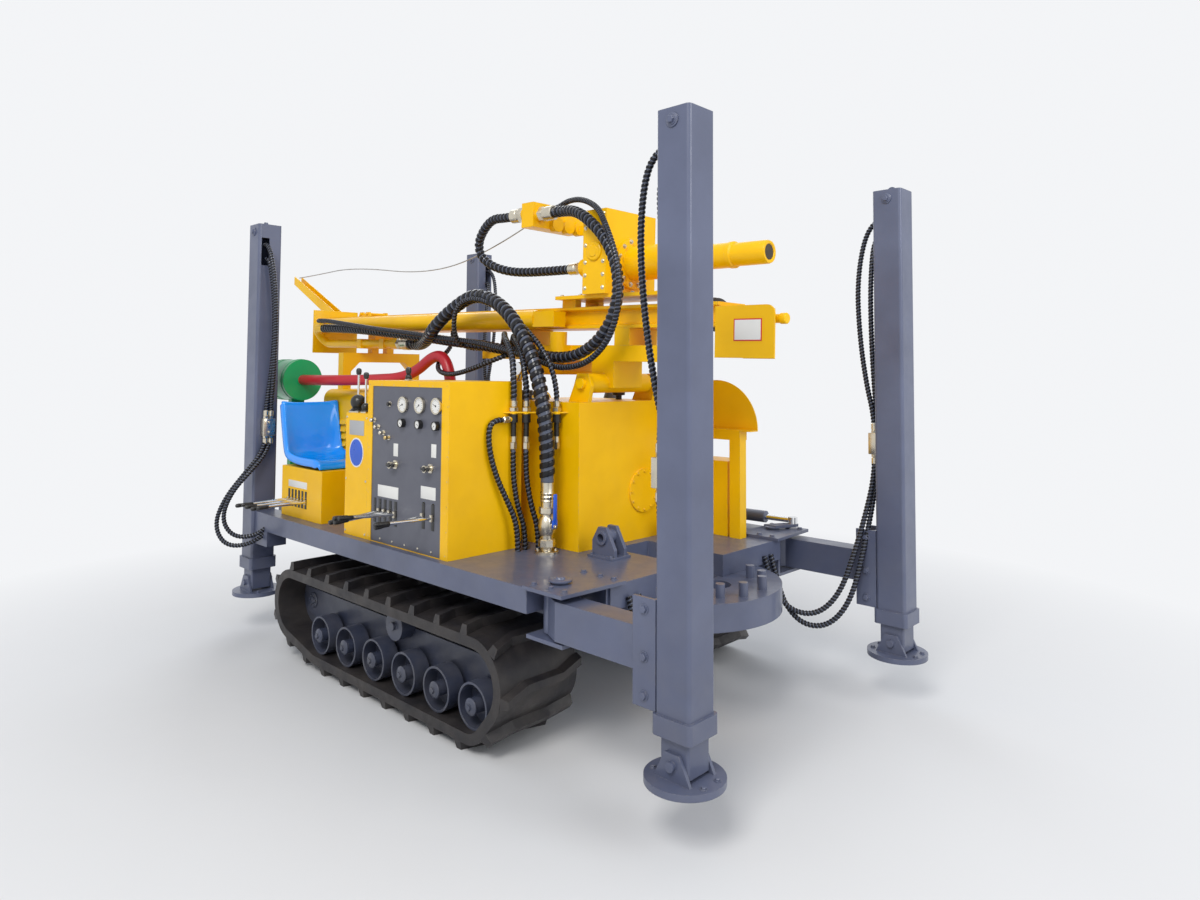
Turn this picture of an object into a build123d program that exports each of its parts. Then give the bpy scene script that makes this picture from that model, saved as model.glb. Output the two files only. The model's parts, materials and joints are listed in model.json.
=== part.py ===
from build123d import *
import math
import os

# Crawler-mounted water-well drilling rig, parked on its tracks with its jacks up.
# Millimetres. +X points to the drilling end, +Z up, the control side is -Y.
# Places below are measured from the middle of the four jacks, at ground level;
# save() moves every piece so that the origin is the centre of the whole footprint.

# Driving dimensions: jacks
leg_x = 1540
leg_inset = 53
leg_tube = 135
leg_wall = 8
leg_top = 2320
leg_bottom = 352
collar_wall = 9
collar_height = 62
inner_tube = 110
inner_top = 1780
foot_radius = 130
foot_thick = 22
foot_bottom = 205
eye_radius = 22
window_drop, window_tall, window_width = 80, 160, 46
valve_low, valve_high, valve_width, valve_deep = 1105, 1200, 60, 42

# Driving dimensions: crawler
track_out = 880
track_width = 400
belt_thick = 42
lug_height = 36
lug_width = 46
lug_pitch = 180
roller_radius = 92
roller_first_x = -668
roller_pitch = 243
roller_count = 6
wheel_radius = 135
idler_x = 579
sprocket_x = -930
carrier_x = -58
carrier_radius = 65
frame_plate = 12
frame_gap = 116
scallop_radius, scallop_drop = 78, 55

# Driving dimensions: deck and drill table
deck_half = 838
leg_y = deck_half - leg_inset
deck_rear = -1317
deck_front = 1050
deck_top = 680
rail_height = 95
deck_plate = 8
rail_wall = 8
rail_flange = 50
throat_half = 125
throat_rear = 622
bay_rear = -1600
bay_clear = 85
mount_width = 110
mount_out = deck_half - 3
bay_half = mount_out - mount_width - bay_clear
corner_x = 849
corner_y = 600
table_top = 585
table_thick = 110
table_radius = 420
table_rear = 890
bore_radius = 70
stud_radius = 19
stud_height = 55

# Driving dimensions: mast, its pivot and the head, measured along and square to the mast
pivot_x = 531
pivot_z = 1425
stow_angle = 1.2
spindle_offset = 562
mast_half = 100
mast_low = 256
mast_high = 360
mast_tail = -2595
mast_nose = 918
nose_low = 127
nose_high = 339
nose_half = 108
frame_low = 103
frame_high = 177
frame_tail = -900
frame_nose = 480
pin_radius = 25
running_gap = 0.3

angle = math.radians(stow_angle)
bore_x = pivot_x + spindle_offset
jib_tip = -3280
jib_tip_high = 690
lever_tip = -1080
jib_tip_x = pivot_x + jib_tip * math.cos(angle) + jib_tip_high * math.sin(angle)
origin_x = (leg_x + foot_radius + jib_tip_x) / 2
origin_y = (lever_tip + leg_y + foot_radius) / 2

os.makedirs("parts", exist_ok=True)


def save(shape, node):
    """Write one node, moved so that the origin is the centre of the footprint."""
    export_step(shape.moved(Location((-origin_x, -origin_y, 0))), f"parts/{node}.step")


def block(x0, x1, y0, y1, z0, z1):
    """A box between six planes."""
    size = Box(x1 - x0, y1 - y0, z1 - z0)
    return Pos((x0 + x1) / 2, (y0 + y1) / 2, (z0 + z1) / 2) * size


def bar(start, end, radius):
    """A round bar from one point to another."""
    line = Vector(*end) - Vector(*start)
    plane = Plane(origin=Vector(*start), z_dir=line)
    return extrude(plane * Circle(radius), line.length)


def side_plate(points, y0, y1):
    """A plate cut to an outline in X and Z, standing between two Y planes."""
    face = make_face(Polyline(*[(x, 0, z) for x, z in points], close=True))
    return Pos(0, y0, 0) * extrude(face, y1 - y0, dir=(0, 1, 0))


def flat_plate(points, z0, z1):
    """A plate cut to an outline in X and Y, lying between two heights."""
    face = make_face(Polyline(*points, close=True))
    return Pos(0, 0, z0) * extrude(face, z1 - z0)


def fuse(pieces):
    """One shape from a list of touching pieces."""
    whole = pieces[0]
    for piece in pieces[1:]:
        whole = whole + piece
    return whole


def far(shape):
    """The same piece on the other side of the machine."""
    return mirror(shape, about=Plane.XZ)


def both(shape):
    """The piece and its twin on the other side."""
    return [shape, far(shape)]


def hose(points, radius):
    """A round hose through points, its bends as wide as the runs allow, and the bends' radii."""
    spots = [Vector(*point) for point in points]
    bends = []
    for before, here, after in zip(spots, spots[1:], spots[2:]):
        turn = math.radians((here - before).get_angle(after - here))
        shorter = min((here - before).length, (after - here).length)
        bends.append(0.45 * shorter / math.tan(turn / 2))
    path = FilletPolyline(*spots, radius=bends)
    section = Plane(origin=path @ 0, z_dir=path % 0) * Circle(radius)
    print("bend radii", [round(bend) for bend in bends])
    return sweep(section, path=path)


def on_mast(shape):
    """Place a shape drawn along the mast, with the pivot at its origin, at the stowed angle."""
    return Pos(pivot_x, 0, pivot_z) * Rot(0, stow_angle, 0) * shape


def mast_to_deck(u, y, w):
    """Stowed place of a point drawn along the mast."""
    x = pivot_x + u * math.cos(angle) + w * math.sin(angle)
    return (x, y, pivot_z - u * math.sin(angle) + w * math.cos(angle))


# Tracks
roller_z = lug_height + belt_thick + roller_radius
wheel_z = roller_z + 103
roller_last_x = roller_first_x + roller_pitch * (roller_count - 1)
track_mid = track_out - track_width / 2


def loop_wheels():
    """Wheels that the belt wraps, in order: x, z, radius."""
    return [
        (idler_x, wheel_z, wheel_radius),
        (sprocket_x, wheel_z, wheel_radius),
        (roller_first_x, roller_z, roller_radius),
        (roller_last_x, roller_z, roller_radius),
    ]


def tangent_points(wheels, offset):
    """Where a belt at a given offset leaves each wheel and meets the next, anticlockwise."""
    rows = []
    for (x0, z0, r0), (x1, z1, r1) in zip(wheels, wheels[1:] + wheels[:1]):
        run = math.hypot(x1 - x0, z1 - z0)
        heading = math.atan2(z1 - z0, x1 - x0)
        normal = heading - math.pi / 2 - math.asin((r1 - r0) / run)
        nx, nz = math.cos(normal), math.sin(normal)
        rows.append((
            (x0 + (r0 + offset) * nx, z0 + (r0 + offset) * nz),
            (x1 + (r1 + offset) * nx, z1 + (r1 + offset) * nz),
        ))
    return rows


def belt_outline(offset):
    """The closed line of the belt at an offset from the wheels, as straight runs and arcs."""
    wheels = loop_wheels()
    runs = tangent_points(wheels, offset)
    lines = []
    for i, (start, end) in enumerate(runs):
        lines.append(Line((start[0], 0, start[1]), (end[0], 0, end[1])))
        x, z, radius = wheels[(i + 1) % len(wheels)]
        leave = runs[(i + 1) % len(runs)][0]
        a0 = math.atan2(end[1] - z, end[0] - x)
        a1 = math.atan2(leave[1] - z, leave[0] - x)
        while a1 < a0:
            a1 += 2 * math.pi
        mid = (a0 + a1) / 2
        reach = radius + offset
        lines.append(ThreePointArc(
            (end[0], 0, end[1]),
            (x + reach * math.cos(mid), 0, z + reach * math.sin(mid)),
            (leave[0], 0, leave[1]),
        ))
    return Wire(lines)


def track_belt(y0):
    """The rubber belt with its lugs, as one solid."""
    outer = belt_outline(belt_thick)
    ring = make_face(outer) - make_face(belt_outline(0))
    belt = Pos(0, y0, 0) * extrude(ring, track_width, dir=(0, 1, 0))
    count = round(outer.length / lug_pitch)
    half = track_width / 2
    sweep_back = lug_width * 0.8
    for i in range(count):
        spot = outer.position_at((i + 0.5) / count)
        along = outer.tangent_at((i + 0.5) / count)
        outward = Vector(0, 1, 0).cross(along)
        if outward.dot(spot - Vector((idler_x + sprocket_x) / 2, 0, wheel_z)) < 0:
            outward = outward * -1
        place = Plane(origin=spot - outward * 3, x_dir=along, z_dir=outward)
        lug = [
            (-lug_width / 2 + sweep_back, -half),
            (lug_width / 2 + sweep_back, -half),
            (lug_width / 2, -half * 0.45),
            (lug_width / 2, half * 0.45),
            (lug_width / 2 - sweep_back, half),
            (-lug_width / 2 - sweep_back, half),
            (-lug_width / 2, half * 0.45),
            (-lug_width / 2, -half * 0.45),
        ]
        face = Pos(0, y0 + half, 0) * (place * make_face(Polyline(*lug, close=True)))
        belt += extrude(face, lug_height + 3, taper=12)
    return belt


def wheel(x, z, radius, y0, y1, rim, web):
    """A dished wheel on a horizontal axle, open towards y0."""
    start = Pos(x, y0, z) * Rot(-90, 0, 0)
    body = start * extrude(Circle(radius), y1 - y0)
    dish = start * extrude(Circle(radius - rim), y1 - y0 - web)
    hub = start * extrude(Circle(radius * 0.34), y1 - y0)
    return body - dish + hub


save(track_belt(-track_out), "track_near")
save(far(track_belt(-track_out)), "track_far")

inner_top_z = wheel_z + wheel_radius
plate_out = track_mid + frame_gap / 2
plate_in = track_mid - frame_gap / 2
roller_width = 78


def rollers():
    """Bottom rollers in pairs outside the frame plates, and the carrier roller on top."""
    pieces = []
    for i in range(roller_count):
        x = roller_first_x + i * roller_pitch
        y = -plate_out - frame_plate - 20
        pieces.append(wheel(x, roller_z, roller_radius - 1, y - roller_width, y, 9, 14))
        pieces.append(bar((x, y - roller_width - 12, roller_z), (x, -plate_out - frame_plate, roller_z), 20))
        inside = -plate_in + frame_plate + 20
        pieces.append(wheel(x, roller_z, roller_radius - 1, inside, inside + roller_width, 9, 14))
        axle_end = inside + roller_width + 12
        pieces.append(bar((x, -plate_in + frame_plate, roller_z), (x, axle_end, roller_z), 20))
    top_z = inner_top_z - carrier_radius - 1
    y = -plate_out - frame_plate
    pieces.append(bar((carrier_x, y, top_z), (carrier_x, y - 70, top_z), carrier_radius))
    pieces.append(bar((carrier_x, y - 70, top_z), (carrier_x, y - 84, top_z), 18))
    return pieces


def crawler_frame():
    """Side plates and box beam between sprocket and idler."""
    outline = [
        (sprocket_x - 60, wheel_z + 60), (sprocket_x - 60, wheel_z - 60),
        (roller_first_x - 60, roller_z - 35), (roller_last_x + 30, roller_z - 35),
        (idler_x + 50, wheel_z - 40), (idler_x + 50, wheel_z + 55),
    ]
    near = side_plate(outline, -plate_out - frame_plate, -plate_out)
    inner = side_plate(outline, -plate_in, -plate_in + frame_plate)
    for i in range(roller_count - 1):
        x = roller_first_x + (i + 0.5) * roller_pitch
        scallop_z = roller_z - scallop_drop
        scallop = bar((x, -track_out, scallop_z), (x, 0, scallop_z), scallop_radius)
        near -= scallop
        inner -= scallop
    beam = block(sprocket_x + 175, idler_x - 175, -plate_out, -plate_in, roller_z + 10, wheel_z + 45)
    axle_sprocket = bar((sprocket_x, -plate_out, wheel_z), (sprocket_x, -plate_in, wheel_z), 30)
    axle_idler = bar((idler_x, -plate_out, wheel_z), (idler_x, -plate_in, wheel_z), 30)
    return fuse([near, inner, beam, axle_sprocket, axle_idler])


def end_wheel(x):
    """Idler or sprocket drum between the frame plates."""
    side = 4
    drum = bar((x, -plate_out + side, wheel_z), (x, -plate_in - side, wheel_z), wheel_radius - 1)
    return drum - bar((x, -plate_out, wheel_z), (x, -plate_in, wheel_z), 30)


near_rollers = rollers()
save(Compound(near_rollers), "rollers_near")
save(far(Compound(near_rollers)), "rollers_far")
save(crawler_frame(), "track_frame_near")
save(far(crawler_frame()), "track_frame_far")
save(end_wheel(idler_x), "idler_near")
save(far(end_wheel(idler_x)), "idler_far")
save(end_wheel(sprocket_x), "sprocket_near")
save(far(end_wheel(sprocket_x)), "sprocket_far")

# Cross beams under the deck
beam_half = 60
saddle_width, saddle_clear = 170, 60
saddle_out = track_out - track_width - saddle_clear
saddle_in = saddle_out - saddle_width
saddle_longer = 40
cross_low, cross_high = wheel_z, wheel_z + 110
rail_low, rail_high = deck_top - rail_height, deck_top - deck_plate
beam_end = plate_in - frame_plate
beams = []
for x in (-650, 330):
    beam = block(x - beam_half, x + beam_half, -beam_end, beam_end, cross_low, cross_high)
    saddle = block(x - beam_half - saddle_longer, x + beam_half + saddle_longer, -saddle_out, -saddle_in,
                   cross_high, rail_low)
    beams.append(fuse([beam] + both(saddle)))
save(Compound(beams), "cross_beams")

# Deck: plate on side rails, with an open throat for the mast foot at the drilling end
near_edge = [
    (bay_rear, -bay_half), (deck_rear, -bay_half), (deck_rear, -deck_half), (corner_x, -deck_half),
    (corner_x, -corner_y), (deck_front, -corner_y), (deck_front, -throat_half), (throat_rear, -throat_half),
]
deck_outline = near_edge + [(x, -y) for x, y in reversed(near_edge)]
inner_beam = 90
rails = [
    # x from, x to, y from, y to, bottom, top
    (deck_rear, corner_x, -deck_half, -deck_half + rail_wall, rail_low, rail_high),
    (deck_rear, corner_x, -deck_half, -deck_half + rail_flange, rail_low, rail_low + rail_wall),
    (corner_x, deck_front, -corner_y, -corner_y + rail_wall, rail_low, rail_high),
    (corner_x - rail_wall, corner_x, -deck_half, -corner_y + rail_wall, rail_low, rail_high),
    (bay_rear, deck_front, -saddle_in - inner_beam, -saddle_in, rail_low, rail_high),
    (throat_rear - rail_wall, deck_front, -throat_half - rail_wall, -throat_half, rail_low, rail_high),
    (deck_front - rail_wall, deck_front, -corner_y, -throat_half, rail_low, rail_high),
    (deck_rear, deck_rear + rail_wall, -deck_half, -bay_half, rail_low, rail_high),
    (bay_rear, deck_rear + rail_wall, -bay_half, -bay_half + rail_wall, rail_low, rail_high),
    (bay_rear, bay_rear + rail_wall, -bay_half, 0, rail_low, rail_high),
    (throat_rear - rail_wall, throat_rear, -throat_half, 0, rail_low, rail_high),
]
deck = flat_plate(deck_outline, rail_high, deck_top)
for rail in rails:
    deck = fuse([deck] + both(block(*rail)))
save(deck, "deck_frame")

# Drill table: thick round-fronted plate with the rod bore, open behind it for the mast foot
throat_front = bore_x - bore_radius + 8
table_slot_half = throat_half - 10
rim_x = table_rear + 40
rim = Pos(rim_x, 0) * Circle(table_radius)
profile = rim & (Pos(table_rear + table_radius, 0) * Rectangle(2 * table_radius, 2 * table_radius))
profile -= Pos(bore_x, 0) * Circle(bore_radius)
profile -= Pos(throat_front - table_radius / 2, 0) * Rectangle(table_radius, 2 * table_slot_half)
table = Pos(0, 0, table_top - table_thick) * extrude(profile, table_thick)
stud_circle = 203
studs = [20, 48, 76]
for turn in studs:
    x = bore_x + stud_circle * math.cos(math.radians(turn))
    y = stud_circle * math.sin(math.radians(turn))
    table = fuse([table] + both(bar((x, -y, table_top), (x, -y, table_top + stud_height), stud_radius)))
save(table, "drill_table")

# Corner brackets with the arm pins, lock brackets, and the fixed mounts of the rear jacks
pin_x, pin_inset = 925, 98
pin_y = deck_half - pin_inset
bracket_low, bracket_high = 500, deck_top
bracket_plate = 14
bracket_out = deck_half + 22
bracket_lap = 60
arm_clear = 6
arm_low = bracket_low + bracket_plate + arm_clear
arm_high = bracket_high - bracket_plate - arm_clear
arm_pin_radius = 30
arm_pin_proud = 8


def arm_bracket():
    """Top and bottom plates with a web, holding the arm's pin."""
    outline = [(corner_x, -bracket_out), (1056, -bracket_out), (1075, -corner_y + bracket_lap),
               (corner_x, -corner_y + bracket_lap)]
    top = flat_plate(outline, bracket_high, bracket_high + bracket_plate)
    shelf = [(corner_x, -deck_half), (1040, -deck_half), (1040, -corner_y), (corner_x, -corner_y)]
    low = flat_plate(shelf, bracket_low, bracket_low + bracket_plate)
    web = block(corner_x, 1040, -corner_y - bracket_plate, -corner_y, bracket_low, bracket_high)
    hole_radius = arm_pin_radius + running_gap
    hole = bar((pin_x, -pin_y, bracket_low - 1), (pin_x, -pin_y, bracket_high + 50), hole_radius)
    return fuse([top, low, web]) - hole


def lock_bracket():
    """Sloped ears on a foot plate, with the hole of the lock pin."""
    foot = block(645, 790, -310, -190, deck_top, deck_top + 10)
    outline = [(655, deck_top + 10), (785, deck_top + 10), (785, deck_top + 40), (735, deck_top + 130),
               (690, deck_top + 130), (655, deck_top + 70)]
    ears = side_plate(outline, -290, -272) + side_plate(outline, -228, -210)
    boss = bar((712, -300, deck_top + 85), (712, -200, deck_top + 85), 30)
    return fuse([foot, ears, boss]) - bar((712, -301, deck_top + 85), (712, -199, deck_top + 85), 18)


save(Compound(both(arm_bracket()) + both(lock_bracket())), "arm_brackets")

rear_face_x = -leg_x + leg_tube / 2
rear_mount = block(rear_face_x, deck_rear, -mount_out, -mount_out + mount_width, bracket_low, deck_top)
save(Compound(both(rear_mount)), "rear_leg_mounts")


# Jacks
def square_tube(x, y, width, z0, z1, corner):
    """Solid square bar with rounded corners, standing at a place."""
    face = Pos(x, y, z0) * RectangleRounded(width, width, corner)
    return extrude(face, z1 - z0)


def jack_tube(x, y):
    """Outer tube with its collar, closed top, lifting eye, hose window and valve block."""
    outer = square_tube(x, y, leg_tube, leg_bottom, leg_top, 14)
    collar = square_tube(x, y, leg_tube + 2 * collar_wall, leg_bottom, leg_bottom + collar_height, 16)
    hollow = square_tube(x, y, leg_tube - 2 * leg_wall, leg_bottom + collar_height, leg_top - leg_wall, 6)
    hollow += square_tube(x, y, inner_tube + 2 * running_gap, leg_bottom, leg_bottom + collar_height, 8)
    inward = -1 if x > 0 else 1
    outward_y = 1 if y > 0 else -1
    face_x = x + inward * leg_tube / 2
    x0, x1 = sorted((face_x - inward * 2 * leg_wall, face_x + inward))
    y0, y1 = sorted((y + outward_y * 5, y + outward_y * (5 + window_width)))
    window_high = leg_top - window_drop
    hollow += block(x0, x1, y0, y1, window_high - window_tall, window_high)
    x0, x1 = sorted((face_x - inward, face_x + inward * valve_deep))
    valve = block(x0, x1, y - valve_width / 2, y + valve_width / 2, valve_low, valve_high)
    eye = Pos(x, y, leg_top) * Rot(90, 0, 0) * extrude(Circle(eye_radius), 6, both=True)
    eye = eye & block(x - 50, x + 50, y - 50, y + 50, leg_top, leg_top + 50)
    return outer + collar - hollow + eye + valve


def jack_foot(x, y):
    """Inner tube with its pinned foot disc."""
    tube = square_tube(x, y, inner_tube, foot_bottom + foot_thick + 12, inner_top, 8)
    disc = Pos(x, y, foot_bottom) * extrude(Circle(foot_radius), foot_thick)
    pieces = [tube]
    pieces.append(disc)
    for side in (-1, 1):
        y0 = y + side * (inner_tube / 2 + 1)
        ear = [(x - 70, foot_bottom + foot_thick), (x + 70, foot_bottom + foot_thick),
               (x + 28, foot_bottom + 105), (x - 28, foot_bottom + 105)]
        lows = sorted((y0, y0 + side * 12))
        pieces.append(side_plate(ear, lows[0], lows[1]))
    pin_z = foot_bottom + 68
    reach = inner_tube / 2 + 26
    pieces.append(bar((x, y - reach, pin_z), (x, y + reach, pin_z), 16))
    return fuse(pieces)


jacks = [
    # name, x, y
    ("front_near", leg_x, -leg_y),
    ("front_far", leg_x, leg_y),
    ("rear_near", -leg_x, -leg_y),
    ("rear_far", -leg_x, leg_y),
]
for name, x, y in jacks:
    save(jack_tube(x, y), f"leg_tube_{name}")
    save(jack_foot(x, y), f"leg_foot_{name}")


# Swing arms
arm_half = 52
clamp_in = leg_x - leg_tube / 2
clamp_low, clamp_high = 415, 760
clamp_long, clamp_plate = 95, 12
arm_root = 75
pin_boss = 60


def swing_arm():
    """Near arm: box beam from the pin to the clamp plates at the jack."""
    root_x = pin_x + arm_root
    beam = block(root_x, clamp_in, -leg_y - arm_half, -leg_y + arm_half, arm_low, arm_high)
    root = flat_plate([(pin_x, -pin_y - pin_boss), (root_x, -leg_y - arm_half), (root_x, -leg_y + arm_half),
                       (pin_x, -pin_y + pin_boss)], arm_low, arm_high)
    boss = bar((pin_x, -pin_y, arm_low), (pin_x, -pin_y, arm_high), pin_boss)
    pin = bar((pin_x, -pin_y, bracket_low - arm_pin_proud),
              (pin_x, -pin_y, bracket_high + bracket_plate + arm_pin_proud), arm_pin_radius)
    pieces = [beam, root, boss, pin]
    for side in (-1, 1):
        y0, y1 = sorted((-leg_y + side * arm_half, -leg_y + side * (arm_half + clamp_plate)))
        pieces.append(block(clamp_in - clamp_long, clamp_in, y0, y1, clamp_low, clamp_high))
    pieces.append(block(clamp_in - clamp_plate, clamp_in, -leg_y - arm_half, -leg_y + arm_half,
                        clamp_low, clamp_high))
    return fuse(pieces)


save(swing_arm(), "swing_arm_near")
crank_dx, crank_dy, crank_plate = 60, 90, 14
crank_x, crank_y = pin_x + crank_dx, pin_y + crank_dy
crank_z = bracket_high + bracket_plate + arm_pin_proud
crank_outline = [(pin_x - 34, pin_y - 30), (pin_x + 34, pin_y - 30), (crank_x + 26, crank_y + 10),
                 (crank_x + 10, crank_y + 26), (crank_x - 26, crank_y + 10)]
crank = flat_plate(crank_outline, crank_z, crank_z + crank_plate)
save(far(swing_arm()) + crank, "swing_arm_far")

# Oil tank under the mast pivot, with its round cover
tank_rear, tank_front, tank_half, tank_top = -20, 570, 290, 1340
cover_y, cover_z, cover_radius, cover_thick = 150, 910, 104, 8
tank = block(tank_rear, tank_front, -tank_half, tank_half, deck_top, tank_top)
tank += bar((tank_front, cover_y, cover_z), (tank_front + cover_thick, cover_y, cover_z), cover_radius)
save(tank, "oil_tank")

# Mast stand: two ears on the tank and the pivot pin
ear_in, ear_thick, pin_proud = 212, 20, 20
ear_outline = [(pivot_x - 90, tank_top), (tank_front, tank_top), (pivot_x + 55, pivot_z - 10),
               (pivot_x + 35, pivot_z + 45), (pivot_x - 35, pivot_z + 45), (pivot_x - 55, pivot_z - 10)]
pin_out = ear_in + ear_thick + pin_proud
pin = bar((pivot_x, -pin_out, pivot_z), (pivot_x, pin_out, pivot_z), pin_radius)
save(fuse(both(side_plate(ear_outline, -ear_in - ear_thick, -ear_in)) + [pin]), "mast_stand")

# Control cabinet: hollow, with a framed opening for the panel
cab_x0, cab_x1, cab_depth, cab_top, wall, cab_inset = -343, 305, 404, 1432, 3, 38
cab_y0 = -deck_half + cab_inset
cab_y1 = cab_y0 + cab_depth
border_rear, border_front, border_top = 40, 54, 27
cabinet = block(cab_x0, cab_x1, cab_y0, cab_y1, deck_top, cab_top)
cabinet -= block(cab_x0 + wall, cab_x1 - wall, cab_y0 + wall, cab_y1 - wall, deck_top + wall, cab_top - wall)
cabinet -= block(cab_x0 + border_rear, cab_x1 - border_front, cab_y0 - 1, cab_y0 + wall + 1,
                 deck_top + wall, cab_top - border_top)
save(cabinet, "control_cabinet")
panel_y = cab_y0 + wall
panel = block(cab_x0 + wall, cab_x1 - wall, panel_y, panel_y + wall, deck_top + wall, cab_top - wall)
levers = [
    # x, height of the slot, slot height, length out, rise at the grip
    (-228, 838, 86, 255, -22),
    (-184, 838, 86, 255, -16),
    (-140, 838, 86, 283, 12),
    (-96, 838, 86, 283, 18),
    (123, 858, 98, 240, -18),
    (193, 858, 98, 283, 8),
]
slot_half = 6.5
panel_back = panel_y + wall
for x, z, tall, out, rise in levers:
    panel -= block(x - slot_half, x + slot_half, panel_y - 1, panel_back + 1, z - tall / 2, z + tall / 2)
save(panel, "control_panel")

# Side column, seat box and seat, which faces the drilling end
column_x0, column_depth, column_top = -545, 240, 1272
save(block(column_x0, cab_x0, cab_y0, cab_y0 + column_depth, deck_top, column_top), "side_column")
box_x0, box_x1, box_depth, box_top = -1286, -836, 290, 950
box_y0 = cab_y0 + 30
box_y1 = box_y0 + box_depth
save(block(box_x0, box_x1, box_y0, box_y1, deck_top, box_top), "seat_box")
seat_width, seat_top, seat_wall = 340, 1297, 28
seat_y0 = box_y0 - 5
seat_y1 = seat_y0 + seat_width
back_x, lap_x, lip_x = -1318, -1215, -868
chair = [(back_x, seat_top), (back_x + seat_wall, seat_top), (lap_x, box_top + 78),
         (lip_x - 40, box_top + 62), (lip_x, box_top + 40), (lip_x - 14, box_top),
         (lap_x - 45, box_top), (back_x + 8, box_top + 90)]
cheek = [(back_x, seat_top), (back_x + seat_wall + 6, seat_top), (lap_x + 40, box_top + 170),
         (lap_x + 180, box_top + 120), (lip_x, box_top + 40), (lip_x - 14, box_top), (lap_x - 45, box_top),
         (back_x + 8, box_top + 90)]
seat = fuse([side_plate(chair, seat_y0, seat_y1), side_plate(cheek, seat_y0, seat_y0 + seat_wall),
             side_plate(cheek, seat_y1 - seat_wall, seat_y1)])
save(seat, "seat")

# Gauges, knobs, valves, levers and joysticks
controls = []
dials = [
    # x, z, radius, depth
    (-40, 1325, 27, 12), (91, 1326, 27, 12), (217, 1326, 27, 12),
    (-43, 1242, 15, 22), (91, 1242, 15, 22), (218, 1241, 15, 22),
    (-157, 1324, 9, 16), (-285, 1245, 9, 26), (-250, 1215, 9, 26), (-205, 1190, 9, 26),
    (-102, 1051, 17, 40), (172, 1056, 17, 40),
]
for x, z, radius, deep in dials:
    controls.append(bar((x, panel_y - deep, z), (x, panel_y, z), radius))
lever_radius, grip_radius, grip_long = 5, 11, 110
seat_lever_first, seat_lever_pitch, seat_lever_z, seat_lever_out = -1196, 38, 774, 290


def lever(x, y, z, out, rise):
    """A rod standing out of its slot, with a grip at its end."""
    tip = Vector(x, y - out, z + rise)
    root = Vector(x, y, z)
    neck = tip + (root - tip).normalized() * grip_long
    return bar(root, neck, lever_radius) + bar(neck, tip, grip_radius)


boss_half, boss_deep = 14, 16
for x, z, tall, out, rise in levers:
    boss = block(x - boss_half, x + boss_half, panel_back, panel_back + boss_deep,
                 z - 12 - boss_half, z - 12 + boss_half)
    root_y = panel_back + boss_deep / 2
    controls.append(lever(x, root_y, z - 12, out + root_y - panel_y, rise) + boss)
for i in range(6):
    x = seat_lever_first + seat_lever_pitch * i
    out = seat_lever_out - 14 * (i % 3)
    controls.append(lever(x, box_y0 - running_gap, seat_lever_z, out, 7 * (i % 2) - 8))
joysticks = [
    # x, y, foot, ball height, ball radius, stick top
    (-520, -700, column_top, 1322, 41, 1490),
    (-400, -690, column_top, 1300, 22, 1470),
    (-112, -730, cab_top, 1449, 16, 1495),
]
for x, y, foot_z, ball_z, ball_radius, stick_top in joysticks:
    stick = bar((x, y, foot_z), (x, y, stick_top - 30), 6) + Pos(x, y, ball_z) * Sphere(ball_radius)
    controls.append(stick + bar((x, y, stick_top - 32), (x, y, stick_top), 13))
save(Compound(controls), "controls")

# Engine, its cover, the air cleaner and its intake hose
hood_x0, hood_x1, hood_half, hood_top, hood_round, hood_wall = -1480, -380, 430, 1365, 60, 3
save(block(-1440, -480, -280, 280, deck_top, 1300), "engine")


def hood(inset):
    """Box with its two upper long edges rounded."""
    half = hood_half - inset
    body = block(hood_x0 + inset, hood_x1 - inset, -half, half, deck_top, hood_top - inset)
    edges = body.edges().filter_by(Axis.X).sort_by(Axis.Z)[-2:]
    return fillet(edges, hood_round - inset)


save(hood(0) - hood(hood_wall), "engine_cover")
cleaner_x, cleaner_in, cleaner_z, cleaner_radius, cleaner_long = -1492, 225, 1420, 122, 288
cleaner_y = -leg_y + cleaner_in
cleaner_end = cleaner_x - cleaner_long
cleaner = bar((cleaner_end, cleaner_y, cleaner_z), (cleaner_x, cleaner_y, cleaner_z), cleaner_radius)
cleaner_post = block(bay_rear + 10, bay_rear + 50, cleaner_y - 40, cleaner_y + 40, deck_top, cleaner_z - 100)
save(cleaner + cleaner_post, "air_cleaner")
intake_x, intake_y = -430, -260
intake = [
    (cleaner_x + running_gap, cleaner_y, cleaner_z), (-1240, cleaner_y, cleaner_z), (-990, -420, 1424),
    (-790, -275, 1440), (-540, intake_y, 1590), (intake_x, intake_y, 1480),
    (intake_x, intake_y, hood_top + running_gap),
]
save(hose(intake, 30), "intake_hose")

# Rear rest of the mast: portal on the rear end of the deck, with two pads under the mast
rest_x0, rest_x1, rest_in, rest_out, rest_low, rest_high = -1590, -1530, 225, 280, 1531, 1590
rest = [block(rest_x0, rest_x1, -rest_out, rest_out, rest_low, rest_high)]
brace = 60
rest += both(block(rest_x0, rest_x1, -rest_out, -rest_in, deck_top, rest_low))
brace_outline = [(0, -rest_in, rest_low), (0, -rest_in + brace, rest_low), (0, -rest_in, rest_low - brace)]
brace_face = make_face(Polyline(*brace_outline, close=True))
rest += both(Pos(rest_x0, 0, 0) * extrude(brace_face, rest_x1 - rest_x0, dir=(1, 0, 0)))
pad_u, pad_half, pad_in, pad_out, pad_low = -2090, 25, 30, 80, 105
pad = block(pad_u - pad_half, pad_u + pad_half, -pad_out, -pad_in, pad_low, mast_low - running_gap)
rest += both(on_mast(pad))
save(fuse(rest), "mast_rest")


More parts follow.
